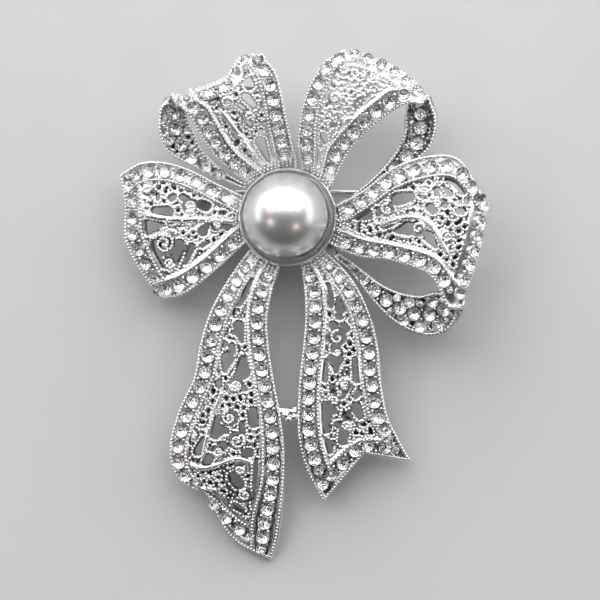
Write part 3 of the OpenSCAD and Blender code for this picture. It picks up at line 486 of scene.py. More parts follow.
# Lace: heights above or below the ribbon's face, sizes, and the metal left between holes
PLATE_H, PIT_H, WIRE_TOP, SMOOTH_TOP, BAND_TOP = -0.3, -0.6, 0.55, 0.57, 0.03
RIDGE_AT, RIDGE_H, RIDGE_SPREAD = 0.3, 0.18, 0.16
WIRE_R, COIL_STEPS, COIL_END, DISC_EDGE, DISC_NEAR = 0.3, 26, 0.12, 0.1, 0.5
WEB, DISC_WEB, BAND_WEB = 0.48, 0.3, 0.15
OUTLINE_STEPS = 73
FAR = 9.0


def from_line(xy, a, b):
    """Distance of places from a straight line, and how far along it the nearest point is."""
    d = b - a
    s = np.clip(((xy - a) @ d) / max(d @ d, 1e-9), 0, 1)
    return length(xy - a - s[..., None] * d), s


def line_distance(xy, line):
    return np.min([from_line(xy, a, b)[0] for a, b in zip(line[:-1], line[1:])], axis=0)


def capsule(xy, c):
    """Distance from a slot with round ends, as x, y, radius twice."""
    d, s = from_line(xy, np.array(c[:2]), np.array(c[3:5]))
    return d - (c[2] + (c[5] - c[2]) * s)


def slot_outline(c, out, pitch):
    """Places one pitch apart round a slot, at a distance out from it."""
    a = np.linspace(0, 2 * math.pi, OUTLINE_STEPS)
    d = np.stack([np.cos(a), np.sin(a)], 1)
    a, b = np.array(c[:2]), np.array(c[3:5])
    first = (d @ a + c[2] >= d @ b + c[5])[:, None]
    return resample(np.where(first, a + d * (c[2] + out), b + d * (c[5] + out)), pitch)


def rounded(points, times=3):
    """Corners of an open line cut away, so that it runs smoothly."""
    p = np.asarray(points, float)
    for _ in range(times):
        a, b = p[:-1], p[1:]
        mid = np.stack([a * 0.75 + b * 0.25, a * 0.25 + b * 0.75], 1).reshape(-1, 2)
        p = np.concatenate([p[:1], mid, p[-1:]])
    return p


def scroll_line(x, y, r, turns, start, hand):
    """A coil that runs inwards from its outer end."""
    k = np.linspace(0, 1, max(8, int(COIL_STEPS * turns)))
    a = math.radians(start) + hand * 2 * math.pi * turns * k
    rad = (r - WIRE_R) * (1 - k) ** 0.9 + COIL_END * k
    return np.stack([x + rad * np.cos(a), y + rad * np.sin(a)], 1)


def parallel(line, off):
    """The same line, moved sideways."""
    d = np.gradient(line, axis=0)
    d /= np.linalg.norm(d, axis=1, keepdims=True)
    return line + np.stack([-d[:, 1], d[:, 0]], 1) * off


class Lace:
    """Open spaces, recesses, coils and bands of one ribbon, in the plane."""

    def __init__(self, slots=(), scrolls=(), bands=(), recesses=()):
        self.slots, self.pits = list(slots), list(recesses)
        self.discs = [(np.array(s[:2]), s[2], scroll_line(*s)) for s in scrolls]
        self.bands = [(rounded(points), w, kind) for points, w, kind in bands]

    def field(self, xy):
        """How far a place is inside the metal, and the relief there."""
        f, pit = np.full(xy.shape[:-1], FAR), np.full(xy.shape[:-1], FAR)
        for c in self.slots:
            f = np.minimum(f, capsule(xy, c))
        for centre, r, _ in self.discs:
            f = np.minimum(f, length(xy - centre) - r + DISC_EDGE)
        for c in self.pits:
            pit = np.minimum(pit, capsule(xy, c))
        h = PLATE_H + RIDGE_H * np.exp(-((np.minimum(f, pit) - RIDGE_AT) / RIDGE_SPREAD) ** 2)
        h = np.where(pit < 0, PIT_H, h)
        for centre, r, line in self.discs:
            near = length(xy - centre) < r + DISC_NEAR
            if near.any():
                d = line_distance(xy[near], line)
                f[near] = np.maximum(f[near], WIRE_R - d)
                top = WIRE_TOP * np.sqrt(np.maximum(0, 1 - (d / WIRE_R) ** 2))
                h[near] = np.maximum(h[near], PLATE_H + top)
        for line, w, kind in self.bands:
            d = line_distance(xy, line)
            f = np.maximum(f, w / 2 - d)
            round_top = SMOOTH_TOP * np.sqrt(1 - np.clip(2 * d / w, 0, 1) ** 2)
            top = round_top if kind == "smooth" else BAND_TOP
            h = np.where(d < w / 2, np.maximum(h, PLATE_H + top), h)
        return f, h

    def room(self, xy):
        """Largest radius of a new hole at each place that leaves metal all round it."""
        out = np.full(xy.shape[:-1], FAR)
        for c in self.slots + self.pits:
            out = np.minimum(out, capsule(xy, c) - WEB)
        for centre, r, _ in self.discs:
            out = np.minimum(out, length(xy - centre) - r - DISC_WEB)
        for line, w, _ in self.bands:
            out = np.minimum(out, line_distance(xy, line) - w / 2 - BAND_WEB)
        return out


def joined(f):
    """Which parts of the metal hang together with the outer edges."""
    inside = f > 0
    kept = np.zeros(f.shape, bool)
    kept[:, 0], kept[:, -1] = inside[:, 0], inside[:, -1]
    while True:
        p = np.pad(kept, 1)
        more = inside & (kept | p[2:, 1:-1] | p[:-2, 1:-1] | p[1:-1, 2:] | p[1:-1, :-2])
        if (more == kept).all():
            return kept
        kept = more


def apart(points, gap, taken=()):
    """Indices of points that keep a distance from each other and from those taken before."""
    cell, kept = {}, []

    def near(p):
        i, j = int(p[0] // gap), int(p[1] // gap)
        return any((q[0] - p[0]) ** 2 + (q[1] - p[1]) ** 2 < gap * gap
                   for a in (i - 1, i, i + 1) for b in (j - 1, j, j + 1) for q in cell.get((a, b), ()))

    def add(p):
        cell.setdefault((int(p[0] // gap), int(p[1] // gap)), []).append(p)

    for p in taken:
        add(p)
    for k, p in enumerate(points):
        if not near(p):
            kept.append(k)
            add(p)
    return kept


# Polygons of the metal in a cell, for each set of corners in it: 0 to 3 are corners, 4 to 7 cut edges
CASES = {
    1: [(0, 4, 7)], 2: [(1, 5, 4)], 3: [(0, 1, 5, 7)], 4: [(2, 6, 5)], 5: [(0, 4, 7), (2, 6, 5)],
    6: [(1, 2, 6, 4)], 7: [(0, 1, 2, 6, 7)], 8: [(3, 7, 6)], 9: [(0, 4, 6, 3)],
    10: [(1, 5, 4), (3, 7, 6)], 11: [(0, 1, 5, 6, 3)], 12: [(2, 3, 7, 5)], 13: [(0, 4, 5, 2, 3)],
    14: [(1, 2, 3, 7, 4)], 15: [(0, 1, 2, 3)],
}
# Painted shade: the walls of the holes are painted dark, and the underside mid-dark
CUT_LIFT, BACK_LIFT = 0.15, 0.5


def pierced(top, bottom, f, painted_light):
    """A closed sheet from a grid of upper and lower points, open where f is below 0."""
    nu, nt = f.shape
    at = np.arange(nu * nt).reshape(nu, nt)
    flat_f = np.where(np.abs(f) < 1e-3, 1e-3, f).ravel()
    verts_t, verts_b = top.reshape(-1, 3), bottom.reshape(-1, 3)

    def crossings(a, b, start):
        cut = (flat_f[a] > 0) != (flat_f[b] > 0)
        s = (flat_f[a] / np.where(cut, flat_f[a] - flat_f[b], 1))[..., None]
        ids = np.full(a.shape, -1)
        ids[cut] = start + np.arange(cut.sum())
        return ids, *(v[a][cut] + (v[b][cut] - v[a][cut]) * s[cut] for v in (verts_t, verts_b))

    eu, tu, bu = crossings(at[:-1], at[1:], nu * nt)
    et, tt, bt = crossings(at[:, :-1], at[:, 1:], nu * nt + len(tu))
    tops, bottoms = np.concatenate([verts_t, tu, tt]), np.concatenate([verts_b, bu, bt])
    n = len(tops)
    ids = np.stack([at[:-1, :-1], at[1:, :-1], at[1:, 1:], at[:-1, 1:],
                    eu[:, :-1], et[1:], eu[:, 1:], et[:-1]], -1).reshape(-1, 8)
    inside = flat_f > 0
    code = sum(inside[ids[:, k]].astype(int) << k for k in range(4))
    faces = []
    for case, polygons in CASES.items():
        cells = ids[code == case]
        for poly in polygons:
            p = cells[:, list(poly)]
            faces += [p[:, ::-1], p + n]
            for k in range(len(poly)):
                if poly[k] > 3 and poly[(k + 1) % len(poly)] > 3:
                    a, b = p[:, k], p[:, (k + 1) % len(poly)]
                    faces.append(np.stack([a, b, b + n, a + n], 1))
    for line, turn in ((at[:, 0], 1), (at[:, -1], -1), (at[0], -1), (at[-1], 1)):
        a, b = line[:-1], line[1:]
        both = inside[a] & inside[b]
        faces.append(np.stack([a, b, b + n, a + n], 1)[both][:, ::turn])
    verts = np.concatenate([tops, bottoms])
    lifts = np.concatenate([painted_light.ravel(), np.full(n - nu * nt, CUT_LIFT), np.full(n, BACK_LIFT)])
    used = np.unique(np.concatenate([p.ravel() for p in faces]))
    new = np.full(len(verts), -1)
    new[used] = np.arange(len(used))
    return verts[used], [q for p in faces for q in new[p].tolist()], lifts[used]


# A ribbon's grid, and where its lace may lie
CELL, FINE_STEPS, LINES_ACROSS = 0.2, 401, 9
MARGIN, CUP_FREE, END_FREE = 0.3, 0.2, 0.8
HOLE_MARGIN, HOLE_UP, HOLE_REACH, HOLE_LONG, UPWARD = 0.5, 0.3, 0.3, 1.2, 0.1
# Heights of a ribbon's face outside the lace
BARE_H, ROW_FLOOR_H, CHANNEL_FLOOR_H, TIP_LENGTH, TIP_DROP = -0.05, -0.25, -0.2, 0.3, 0.15
INNER_RIDGE, EDGE_THIN = 0.78, 0.12
# Shade of a height: the height that counts as 0, and the span up to 1
LIFT_LOW, LIFT_SPAN = 0.55, 0.6
# Grains on each kind of band. Columns: rows as shares of its width and an addition, pitch, radius
BAND_ROWS = {
    "grained": ([(0, 0)], 0.52, 0.25),
    "double": ([(-0.25, 0), (0.25, 0)], 0.52, 0.25),
    "smooth": ([(-0.5, -0.05), (0.5, 0.05)], 0.5, 0.17),
}
LACE_PITCH, COIL_GRAIN_R, HOLE_GRAIN_R, LACE_GRAIN_GAP = 0.5, 0.22, 0.23, 0.42
LOOSE_GRAIN_R, LOOSE_GRAIN_GAP = 0.2, 0.52
# What a grain needs: metal round it, height above the plate, distance from the edge of the lace
ROW_METAL, ROW_RISE, ROW_INWARD, LOOSE_METAL, LOOSE_RISE, LOOSE_INWARD = 0.14, 0.05, 0.05, 0.5, -0.01, 0.25
ROW_PITCH, ROW_GRAIN_R, EDGE_STEPS = 0.56, 0.25, 200
ROOT_PITCH, ROOT_GRAIN_R, ROOT_U, ROOT_LEAST, ROOT_MOST, ROOT_SUNK = 0.58, 0.26, 0.3, -0.1, 1.3, 0.02


def shuffled(places, rng):
    return places[np.array(sorted(range(len(places)), key=lambda _: rng.random()), int)]


def add_pits(lace, spots, up, pits, rng):
    """More recesses in random directions, wherever the lace has room for them."""
    room = np.where(up > HOLE_UP, lace.room(spots), -1)
    for k, q in enumerate(spots):
        r = rng.uniform(*pits)
        if room[k] > r:
            a, long = rng.uniform(0, math.pi), rng.uniform(0, min(room[k] - r + HOLE_REACH, HOLE_LONG))
            end = q + long * np.array([math.cos(a), math.sin(a)])
            lace.pits.append((*q, r, *end, r * rng.uniform(0.5, 1)))
            room = np.minimum(room, capsule(spots, lace.pits[-1]) - WEB)


def lace_rows(lace):
    """Rows of grains on bands and coils and round the holes: places in the plane, radius."""
    rows = []
    for line, w, kind in lace.bands:
        places, pitch, r = BAND_ROWS[kind]
        rows += [(resample(parallel(line, w * share + more), pitch), r) for share, more in places]
    rows += [(resample(line, LACE_PITCH), COIL_GRAIN_R) for _, _, line in lace.discs]
    return rows + [(slot_outline(c, RIDGE_AT, LACE_PITCH), HOLE_GRAIN_R) for c in lace.slots + lace.pits]


class Face:
    """A finished upper face, to find points on it from places in the plane."""

    def __init__(self, pos, top, nor, margin):
        self.top, self.nor, self.margin = top, nor, margin
        self.index = np.argwhere(nor[..., 2] > UPWARD)
        self.tree = kdtree.KDTree(len(self.index))
        for k, (i, j) in enumerate(self.index):
            self.tree.insert((*pos[i, j, :2], 0), k)
        self.tree.balance()

    def at(self, xy):
        """Points, normals, and distances from the edge of the lace."""
        i, j = self.index[[self.tree.find((*q, 0))[1] for q in xy]].T
        v, m = self.top[i, j], self.nor[i, j]
        z = v[:, 2] - (m[:, 0] * (xy[:, 0] - v[:, 0]) + m[:, 1] * (xy[:, 1] - v[:, 1])) / m[:, 2]
        return np.column_stack([xy, z]), m, self.margin[i, j]


def sheet(name, secs, material, sharp=0, lace=None, end_row=None, relief=BORDER_RELIEF, border_of=border,
          row_half=0, seed=1, pits=(0.16, 0.3), painted_light_offset=0.0, end_ridge=1.0, end_w=BORDER_W):
    """One ribbon: its pierced sheet, and the grains on its lace."""
    lace, rng = lace or Lace(), random.Random(seed)
    share, heights = np.array(relief).T
    fine = np.linspace(0, 1, FINE_STEPS)
    reached = travelled(on(secs, fine[:, None], np.linspace(0, 1, LINES_ACROSS)[None], sharp))
    u = np.interp(np.linspace(0, reached[-1], int(reached[-1] / CELL) + 1), reached, fine)
    w = width(secs, u)[:, None]
    b = border_of(secs, u)[:, None] / w
    mid = np.linspace(0, 1, int(((1 - 2 * b) * w).max() / CELL) + 1)[1:-1]
    t = np.concatenate([b * share, b + (1 - 2 * b) * mid, 1 - b * share[::-1]], 1)
    u = np.broadcast_to(u[:, None], t.shape)
    pos, nor = on(secs, u, t, sharp), normal(secs, u, t, sharp, VERY_NEAR)

    # How far each place is inside the part that the lace may fill
    run = np.interp(u, fine, reached)
    margin = np.minimum(t - b, 1 - b - t) * w
    margin = np.minimum(margin, np.hypot(pos[..., 0], pos[..., 1]) - CUP_R - CUP_FREE)
    margin = np.minimum(margin, np.minimum(run, reached[-1] - run) - END_FREE)
    if row_half:
        margin = np.minimum(margin, np.abs(t - 0.5) * w - row_half)
    if end_row is not None:
        line = path(*end_row)
        d = np.min([length(pos - q) for q in on(secs, *line.T, sharp)], axis=0)
        order = np.argsort(line[:, 1])
        inside = u < np.interp(t, line[order, 1], line[order, 0])
        half = np.minimum(end_w, w * BORDER_MOST) / 2
        margin = np.minimum(margin, np.where(inside, d - half, -1))
    i, j = shuffled(np.argwhere(margin > HOLE_MARGIN), rng).T
    add_pits(lace, pos[i, j, :2], nor[i, j, 2], pits, rng)

    # Metal, and the relief of its face
    f, h = lace.field(pos[..., :2])
    h = heights[-1] + (h - heights[-1]) * np.clip(margin / MARGIN, 0, 1)
    f = np.where(margin > 0, np.maximum(f, MARGIN - margin), FAR)
    island = (f > 0) & ~joined(f)
    f, margin = np.where(island, -0.1, f), np.where(island, -1, margin)
    if end_row is not None:
        across = 0.5 + np.where(inside, d, -d) / (2 * half)
        ridge = CHANNEL_FLOOR_H + (heights - CHANNEL_FLOOR_H) * end_ridge
        inner = np.where((share > INNER_RIDGE) & (share < 1), ridge, heights)
        cross = np.where((across > 0) & (across < 1), np.interp(across, share, inner), h)
        h = np.where(margin < 0, np.where(across <= 0, BARE_H, cross), h)
    elif row_half:
        h = np.where(margin < 0, ROW_FLOOR_H, h)
    n = len(share)
    h[:, :n], h[:, -n:] = heights, heights[::-1]
    fade = np.clip((u - RELIEF_FROM) / RELIEF_FROM, 0, 1)
    h = h * fade + BARE_H * (1 - fade)
    h = h - TIP_DROP * (1 - np.clip((reached[-1] - run) / TIP_LENGTH, 0, 1)) ** 2

    top = pos + nor * h[..., None]
    rim = np.zeros(t.shape)
    rim[:, 0] = rim[:, -1] = EDGE_THIN
    bottom = pos - nor * (SHEET_T - rim)[..., None]
    # Painted shade: the lower the face, the darker its colour, plus a painted light offset for the whole
    # sheet
    verts, faces, lifts = pierced(top, bottom, f, np.clip((h + LIFT_LOW) / LIFT_SPAN + painted_light_offset, 0, 1))
    ob = new_piece(name, verts, faces, material, smooth_angle=40)
    ob.data.attributes.new("painted_light", "FLOAT", "POINT").data.foreach_set("value", lifts.astype(np.float32))

    # Grains in rows, and then wherever there is room
    face = Face(pos, top, nor, margin)
    sets, taken = [], []
    for xy, r in lace_rows(lace):
        f_at, h_at = lace.field(xy)
        xy = xy[(f_at > ROW_METAL) & (h_at > PLATE_H + ROW_RISE)]
        if len(xy):
            p, m, inward = face.at(xy)
            p, m = p[inward > ROW_INWARD], m[inward > ROW_INWARD]
            kept = apart(p, LACE_GRAIN_GAP, taken)
            sets.append((p[kept], m[kept], r))
            taken += p[kept].tolist()
    free = (margin > LOOSE_INWARD) & (f > LOOSE_METAL) & (h > PLATE_H + LOOSE_RISE)
    i, j = shuffled(np.argwhere(free & (nor[..., 2] > HOLE_UP)), rng).T
    kept = apart(top[i, j], LOOSE_GRAIN_GAP, taken)
    sets.append((top[i, j][kept], nor[i, j][kept], LOOSE_GRAIN_R))
    return ob, sets


def upright(p, r):
    """Grains that stand straight up."""
    return p, np.tile([0.0, 0, 1], (len(p), 1)), r


def grains_at(secs, q, sharp, h, r):
    """Grains at places on a ribbon, at a height above its face."""
    n = normal(secs, *q.T, sharp, VERY_NEAR)
    return on(secs, *q.T, sharp) + n * h, n, r


def edge_rows(secs, sharp, h, share, u_from, u_to, border_of=border):
    """Grains along both edges, at a share of the border's width."""
    u, sets = np.linspace(u_from, u_to, EDGE_STEPS), []
    for side in ("left", "right"):
        q = spread(secs, edge_line(secs, side, u, share, border_of), sharp, ROW_PITCH)
        sets.append(grains_at(secs, q, sharp, h, ROW_GRAIN_R))
    return sets


def root_rows(secs, sharp):
    """Grains on the bare root of a ribbon, round the edge of the dish."""
    step = np.linspace(0, ROOT_U, 40)
    reached = length(on(secs, step, 0.5, sharp) - on(secs, 0, 0.5, sharp))
    sets = []
    for s in np.arange(0, reached[-1], ROOT_PITCH):
        u = np.interp(s, reached, step)
        q = spread(secs, path([u, 0.03], [u, 0.97]), sharp, ROOT_PITCH)
        p, n = on(secs, *q.T, sharp), normal(secs, *q.T, sharp)
        out = np.hypot(p[:, 0], p[:, 1]) - CUP_R
        good = (out > ROOT_LEAST) & (out < ROOT_MOST)
        sets.append((p[good] - n[good] * ROOT_SUNK, n[good], ROOT_GRAIN_R))
    return sets


def cross_row(secs, sharp, end_row, shift, h):
    """Grains beside the row of stones that crosses a ribbon's end."""
    u, t = path(*end_row).T
    step = NEAR / 2
    fast = length(on(secs, u + step, t, sharp) - on(secs, u - step, t, sharp)) / NEAR
    q = spread(secs, np.stack([np.clip(u + shift / fast, 0, 1), t], 1), sharp, ROW_PITCH)
    e = border(secs, q[:, 0]) / width(secs, q[:, 0])
    return grains_at(secs, q[(q[:, 1] > e) & (q[:, 1] < 1 - e)], sharp, h, ROW_GRAIN_R)


# Cut stones. Rings of a stone of radius 1, from the table to the pavilion: corners, radius, height, turn
STONE_RINGS = [(8, 0.5, 0.75, 0), (8, 0.8, 0.5, 0.5), (16, 1.0, 0.13, 0), (16, 1.0, 0.05, 0),
               (8, 0.78, -0.14, 0.5), (8, 0.4, -0.4, 0)]
CULET_Z = -0.52
FACE_UP, TILT, FLOOR_H = 0.3, 0.13, CHANNEL_H * RIM_H
FILL_SIZES, FILL_STEP, FILL_GAP, EDGE_FREE = (1.0, 0.8, 0.62, 0.46), 0.15, 0.05, 0.42
MOVE_FROM, MOVE_MOST, INWARD_U, INWARD_T = 0.6, 0.7, 0.12, 0.6
HOLD_OUT, HOLD_H, HOLD_R = 0.66, 0.3, 0.27


def stone_template():
    """Vertices and faces of a stone, and which of the faces are foiled."""
    bm = bmesh.new()
    for n, r, z, turn in STONE_RINGS:
        for p in ring(r, z, n, turn):
            bm.verts.new(p)
    bm.verts.new((0, 0, CULET_Z))
    bmesh.ops.convex_hull(bm, input=bm.verts[:])
    bmesh.ops.dissolve_limit(bm, angle_limit=0.02, verts=bm.verts[:], edges=bm.edges[:])
    bm.normal_update()
    foiled = [f.normal.z < -0.1 for f in bm.faces]
    return *mesh_of(bm), foiled


def rim_gap(secs, sharp, p):
    """How far places lie from the outline of a ribbon's outer half."""
    u, t = np.linspace(0.5, 1, 150), np.linspace(0, 1, 150)
    rim = np.concatenate([on(secs, u, 0, sharp), on(secs, u, 1, sharp), on(secs, 1.0, t, sharp)])
    return length(p[:, None] - rim[None]).min(1)


def seats(secs, q, sharp):
    return on(secs, *q.T, sharp), along(secs, *q.T, sharp), normal(secs, *q.T, sharp)


def fillers(secs, sharp, lines, rows, flat_end):
    """Stones for the room that the rows leave along these lines: centres, directions, normals, radii."""
    taken, out = [(p, r) for ps, rs in rows for p, r in zip(ps, rs)], []
    for size in FILL_SIZES:
        for line in lines:
            q = spread(secs, line, sharp, FILL_STEP)
            p = on(secs, *q.T, sharp)
            room = rim_gap(secs, sharp, p) if flat_end else np.full(len(p), FAR)
            for k in np.flatnonzero(room >= size + EDGE_FREE):
                if all(length(p[k] - c) > size + r + FILL_GAP for c, r in taken):
                    taken.append((p[k], size))
                    out.append((*q[k], size))
    out = np.array(out).reshape(-1, 3)
    return *seats(secs, out[:, :2], sharp), out[:, 2]


def stones(name, groups, fill, node, seed, flat_end):
    """Stones of one node, and the grains that hold them. Groups: sections, path, share, sharp, radius."""
    verts, faces, foiled = stone_template()
    rng = random.Random(seed)
    cs, xs, ns, rs, sets = [], [], [], [], []

    def put(p, x, n, r):
        for out, value in zip((cs, xs, ns, rs), (p + n * (FLOOR_H + STONE_GAP), x, n, r)):
            out.append(value)

    for secs, line, share, sharp, most in groups:
        q = spread(secs, line, sharp, STONE_PITCH)
        p, x, n = seats(secs, q, sharp)
        r = np.minimum(most, width(secs, q[:, 0]) * share)
        if flat_end:
            short = np.clip(r + EDGE_FREE - rim_gap(secs, sharp, p), 0, MOVE_MOST)
            within = on(secs, q[:, 0] - INWARD_U, 0.5 + (q[:, 1] - 0.5) * INWARD_T, sharp)
            p = p + unit(within - p) * np.where(q[:, 0] > MOVE_FROM, short, 0)[:, None]
        put(p, x, n, r)
        if len(q) > 1:
            m, mn, gap = (p[1:] + p[:-1]) / 2, unit(n[1:] + n[:-1]), (r[1:] + r[:-1]) / 2
            side = unit(np.cross(mn, p[1:] - p[:-1]))
            for s in (-HOLD_OUT, HOLD_OUT):
                sets.append((m + side * (s * gap)[:, None] + mn * HOLD_H, mn, HOLD_R * gap))
    for secs, lines, sharp in fill:
        put(*fillers(secs, sharp, lines, list(zip(cs, rs)), flat_end))
    c, x, n, r = (np.concatenate(v) for v in (cs, xs, ns, rs))
    n = unit(n + [0, 0, FACE_UP])
    turn = np.array([rng.uniform(0, math.pi) for _ in r])[:, None]
    tilt = np.array([[rng.gauss(0, TILT) for _ in range(3)] for _ in r])
    x = x * np.cos(turn) + np.cross(n, x) * np.sin(turn)
    v, f = copies(verts, faces, c, frames(n + tilt, x), np.stack([r, r, np.ones(len(r))], 1))
    ob = new_piece(name, v, f, crystal, slot="cut_stone")
    ob.data.materials.append(foil)
    ob.data.polygons.foreach_set("material_index", np.repeat(np.array(foiled, int), len(c)))
    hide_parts(node)
    return sets


# Materials. Scales of patterns are per metre, and heights of bumps in metres
class Look:
    """A node material that is driven by object coordinates."""

    def __init__(self, name, **fixed):
        self.mat = bpy.data.materials.new(name)
        self.mat.use_nodes = True
        self.tree = self.mat.node_tree
        self.shader = self.tree.nodes["Principled BSDF"]
        self.where = self.node("ShaderNodeTexCoord").outputs["Object"]
        self.fill(self.shader, fixed)

    def fill(self, node, values):
        for key, value in values.items():
            node.inputs[key.replace("_", " ")].default_value = value

    def node(self, kind, **values):
        node = self.tree.nodes.new(kind)
        self.fill(node, values)
        return node

    def link(self, out, into):
        self.tree.links.new(out, into)

    def drive(self, key, out):
        self.link(out, self.shader.inputs[key])

    def pattern(self, kind, **values):
        node = self.node(kind, **values)
        self.link(self.where, node.inputs["Vector"])
        return node

    def noise(self, scale, detail=3.0):
        return self.pattern("ShaderNodeTexNoise", Scale=scale, Detail=detail).outputs["Fac"]

    def ranged(self, value, low, high, start=0.3, end=0.7):
        node = self.node("ShaderNodeMapRange", From_Min=start, From_Max=end, To_Min=low, To_Max=high)
        self.link(value, node.inputs["Value"])
        return node.outputs["Result"]

    def times(self, a, b):
        node = self.node("ShaderNodeMath")
        node.operation = "MULTIPLY"
        self.link(a, node.inputs[0])
        self.link(b, node.inputs[1])
        return node.outputs["Value"]

    def mix(self, factor, a, b):
        """Mix of two colours, each of them a triple or an output."""
        node = self.node("ShaderNodeMix")
        node.data_type = "RGBA"
        self.link(factor, node.inputs["Factor"])
        for key, colour in (("A", a), ("B", b)):
            if isinstance(colour, tuple):
                node.inputs[key].default_value = (*colour, 1)
            else:
                self.link(colour, node.inputs[key])
        return node.outputs["Result"]

    def bump(self, height, distance):
        node = self.node("ShaderNodeBump", Strength=1.0, Distance=distance)
        self.link(height, node.inputs["Height"])
        self.drive("Normal", node.outputs["Normal"])

    def clouded(self, cloud, dark, bright, *rough):
        """Colour and roughness that follow the same pattern."""
        self.drive("Base Color", self.mix(cloud, dark, bright))
        self.drive("Roughness", self.ranged(cloud, *rough))


def scaled(share, colour):
    return tuple(share * c for c in colour)


def painted_recess_shade(look, dark, bright):
    """Painted shade: colour that darkens with the depth of the relief, with dark specks of painted shade
    in the channels.
    """
    attribute = look.node("ShaderNodeAttribute")
    attribute.attribute_name = "painted_light"
    painted_light = attribute.outputs["Fac"]
    ramp = look.node("ShaderNodeValToRGB")
    look.link(painted_light, ramp.inputs["Fac"])
    low, high = ramp.color_ramp.elements
    low.position, high.position = 0.08, 0.9
    low.color, high.color = (*dark, 1), (*bright, 1)
    ramp.color_ramp.elements.new(0.42).color = (*scaled(0.62, bright), 1)
    specks = look.ranged(look.noise(2400, 1.0), 0, 1, 0.5, 0.58)
    deep = look.ranged(painted_light, 1, 0, 0.56, 0.74)
    return look.mix(look.times(specks, deep), ramp.outputs["Color"], scaled(2, dark))


def metal(name, dark, bright, rough, bump=0.00001, paint_recess_shade=False):
    """Plated metal: uneven gloss, fine unevenness, and, where asked, painted shade that darkens its
    recesses.
    """
    look = Look(name, Metallic=1)
    broad = look.noise(420)
    look.drive("Base Color", painted_recess_shade(look, dark, bright) if paint_recess_shade else look.mix(broad, dark, bright))
    look.drive("Roughness", look.ranged(broad, *rough))
    look.bump(look.noise(5200), bump)
    return look.mat


def crystal_material():
    """Clear cut glass, with a faint cloudiness that differs from stone to stone."""
    look = Look("crystal", IOR=1.6, Transmission_Weight=1)
    look.clouded(look.noise(300), (0.9, 0.94, 1), (1, 0.98, 0.95), 0.0, 0.03)
    return look.mat


def foil_material():
    """Silver foil on the back of a stone, with small flat faces that lie at slightly different angles."""
    look = Look("foil", Metallic=1)
    look.clouded(look.noise(900), (0.9, 0.93, 0.97), (0.99, 0.98, 0.96), 0.1, 0.18)
    look.bump(look.pattern("ShaderNodeTexVoronoi", Scale=1900).outputs["Distance"], 0.00022)
    return look.mat


def pearl_material():
    """Light grey nacre: soft sheen under a clear skin, slightly warmer and cooler in clouds, and a painted
    sheen that makes it lighter towards its outline as seen.
    """
    look = Look("nacre", Metallic=0.8, Coat_Weight=0.35, Coat_Roughness=0.12, Coat_IOR=1.6)
    cloud = look.noise(160, 4.0)
    painted_edge_sheen = look.node("ShaderNodeLayerWeight", Blend=0.35).outputs["Facing"]
    body = look.mix(cloud, (0.64, 0.63, 0.65), (0.7, 0.69, 0.7))
    # Painted sheen: lighter towards the pearl's outline as seen
    look.drive("Base Color", look.mix(painted_edge_sheen, body, (0.86, 0.86, 0.88)))
    look.drive("Roughness", look.ranged(cloud, 0.31, 0.36))
    look.bump(look.noise(2600, 2.0), 0.000004)
    return look.mat


def dish_material():
    """Turned and polished metal, with faint uneven rings that catch the light."""
    look = Look("polish", Metallic=1)
    rings = look.pattern("ShaderNodeTexWave", Scale=330, Distortion=4, Detail=2, Detail_Scale=1)
    rings.wave_type, rings.rings_direction = "RINGS", "Z"
    streaks = rings.outputs["Fac"]
    look.clouded(streaks, (0.94, 0.94, 0.95), (1, 1, 1), 0.42, 0.24, 0, 1)
    look.bump(streaks, 0.00006)
    return look.mat


def floor_material():
    look = Look("floor", Roughness=0.7)
    look.drive("Base Color", look.mix(look.noise(60), (0.54, 0.54, 0.545), (0.57, 0.57, 0.57)))
    return look.mat


# These three metals carry painted shade in their recesses. The second is rougher and a little lighter; the
# third is rougher still and lighter, a lit copy that paints light on the upper right ribbon.
cast = metal("cast", (0.07, 0.07, 0.075), (0.92, 0.92, 0.93), (0.2, 0.34), paint_recess_shade=True)
cast_soft = metal("cast_soft", (0.12, 0.12, 0.125), (0.95, 0.95, 0.96), (0.3, 0.42), paint_recess_shade=True)
cast_painted_lit = metal("cast_painted_lit", (0.15, 0.15, 0.15), (0.97, 0.97, 0.98), (0.38, 0.52), paint_recess_shade=True)
grain = metal("grain", (0.88, 0.88, 0.89), (0.95, 0.95, 0.95), (0.16, 0.28), 0.000003)
plain = metal("plain", (0.66, 0.66, 0.68), (0.8, 0.8, 0.81), (0.2, 0.36))
polish, crystal, foil, nacre = dish_material(), crystal_material(), foil_material(), pearl_material()

# Ribbons
# Folds: direction in degrees, and the share of the radius on the left edge, the middle and the right edge
FOLDS = {"UL": (120, (1, 1, 0.15)), "UR": (50, (0.3, 1, 1)), "RL": (-16, (0.3, 1, 1))}
# Swells of an outer edge: growth along the ribbon, how far at the end, centre and half-width across
SWELLS = {
    "UL": ([0, 0, 0, 0, 0.1, 0.55, 1, 1, 1, 1], (-0.5, 1.65), (0.8, 0.26)),
    "LP": ([0, 0, 0, 0.1, 0.5, 0.9, 1], (1.1, 0.1), (0.78, 0.3)),
    "LT": ([0, 0, 0, 0, 0, 0, 0, 0, 0.2, 0.7, 1], (-0.45, -0.45), (0.45, 0.45)),
}
front = {k: sections(shares(rows), REACH[k], RISE[k]) for k, rows in FRONT_ROWS.items()}
back = {k: strip_sections(shares(rows), REACH[k], RISE[k]) for k, rows in BACK_ROWS.items()}
for k, (direction, share) in FOLDS.items():
    front[k] = folded(front[k], direction, FOLD_R, share)
for k, (grow, far, where) in SWELLS.items():
    swell = [[[g * far[0], g * far[1], 0], [*where, 0]] for g in grow]
    front[k] = np.concatenate([front[k], swell], 1)

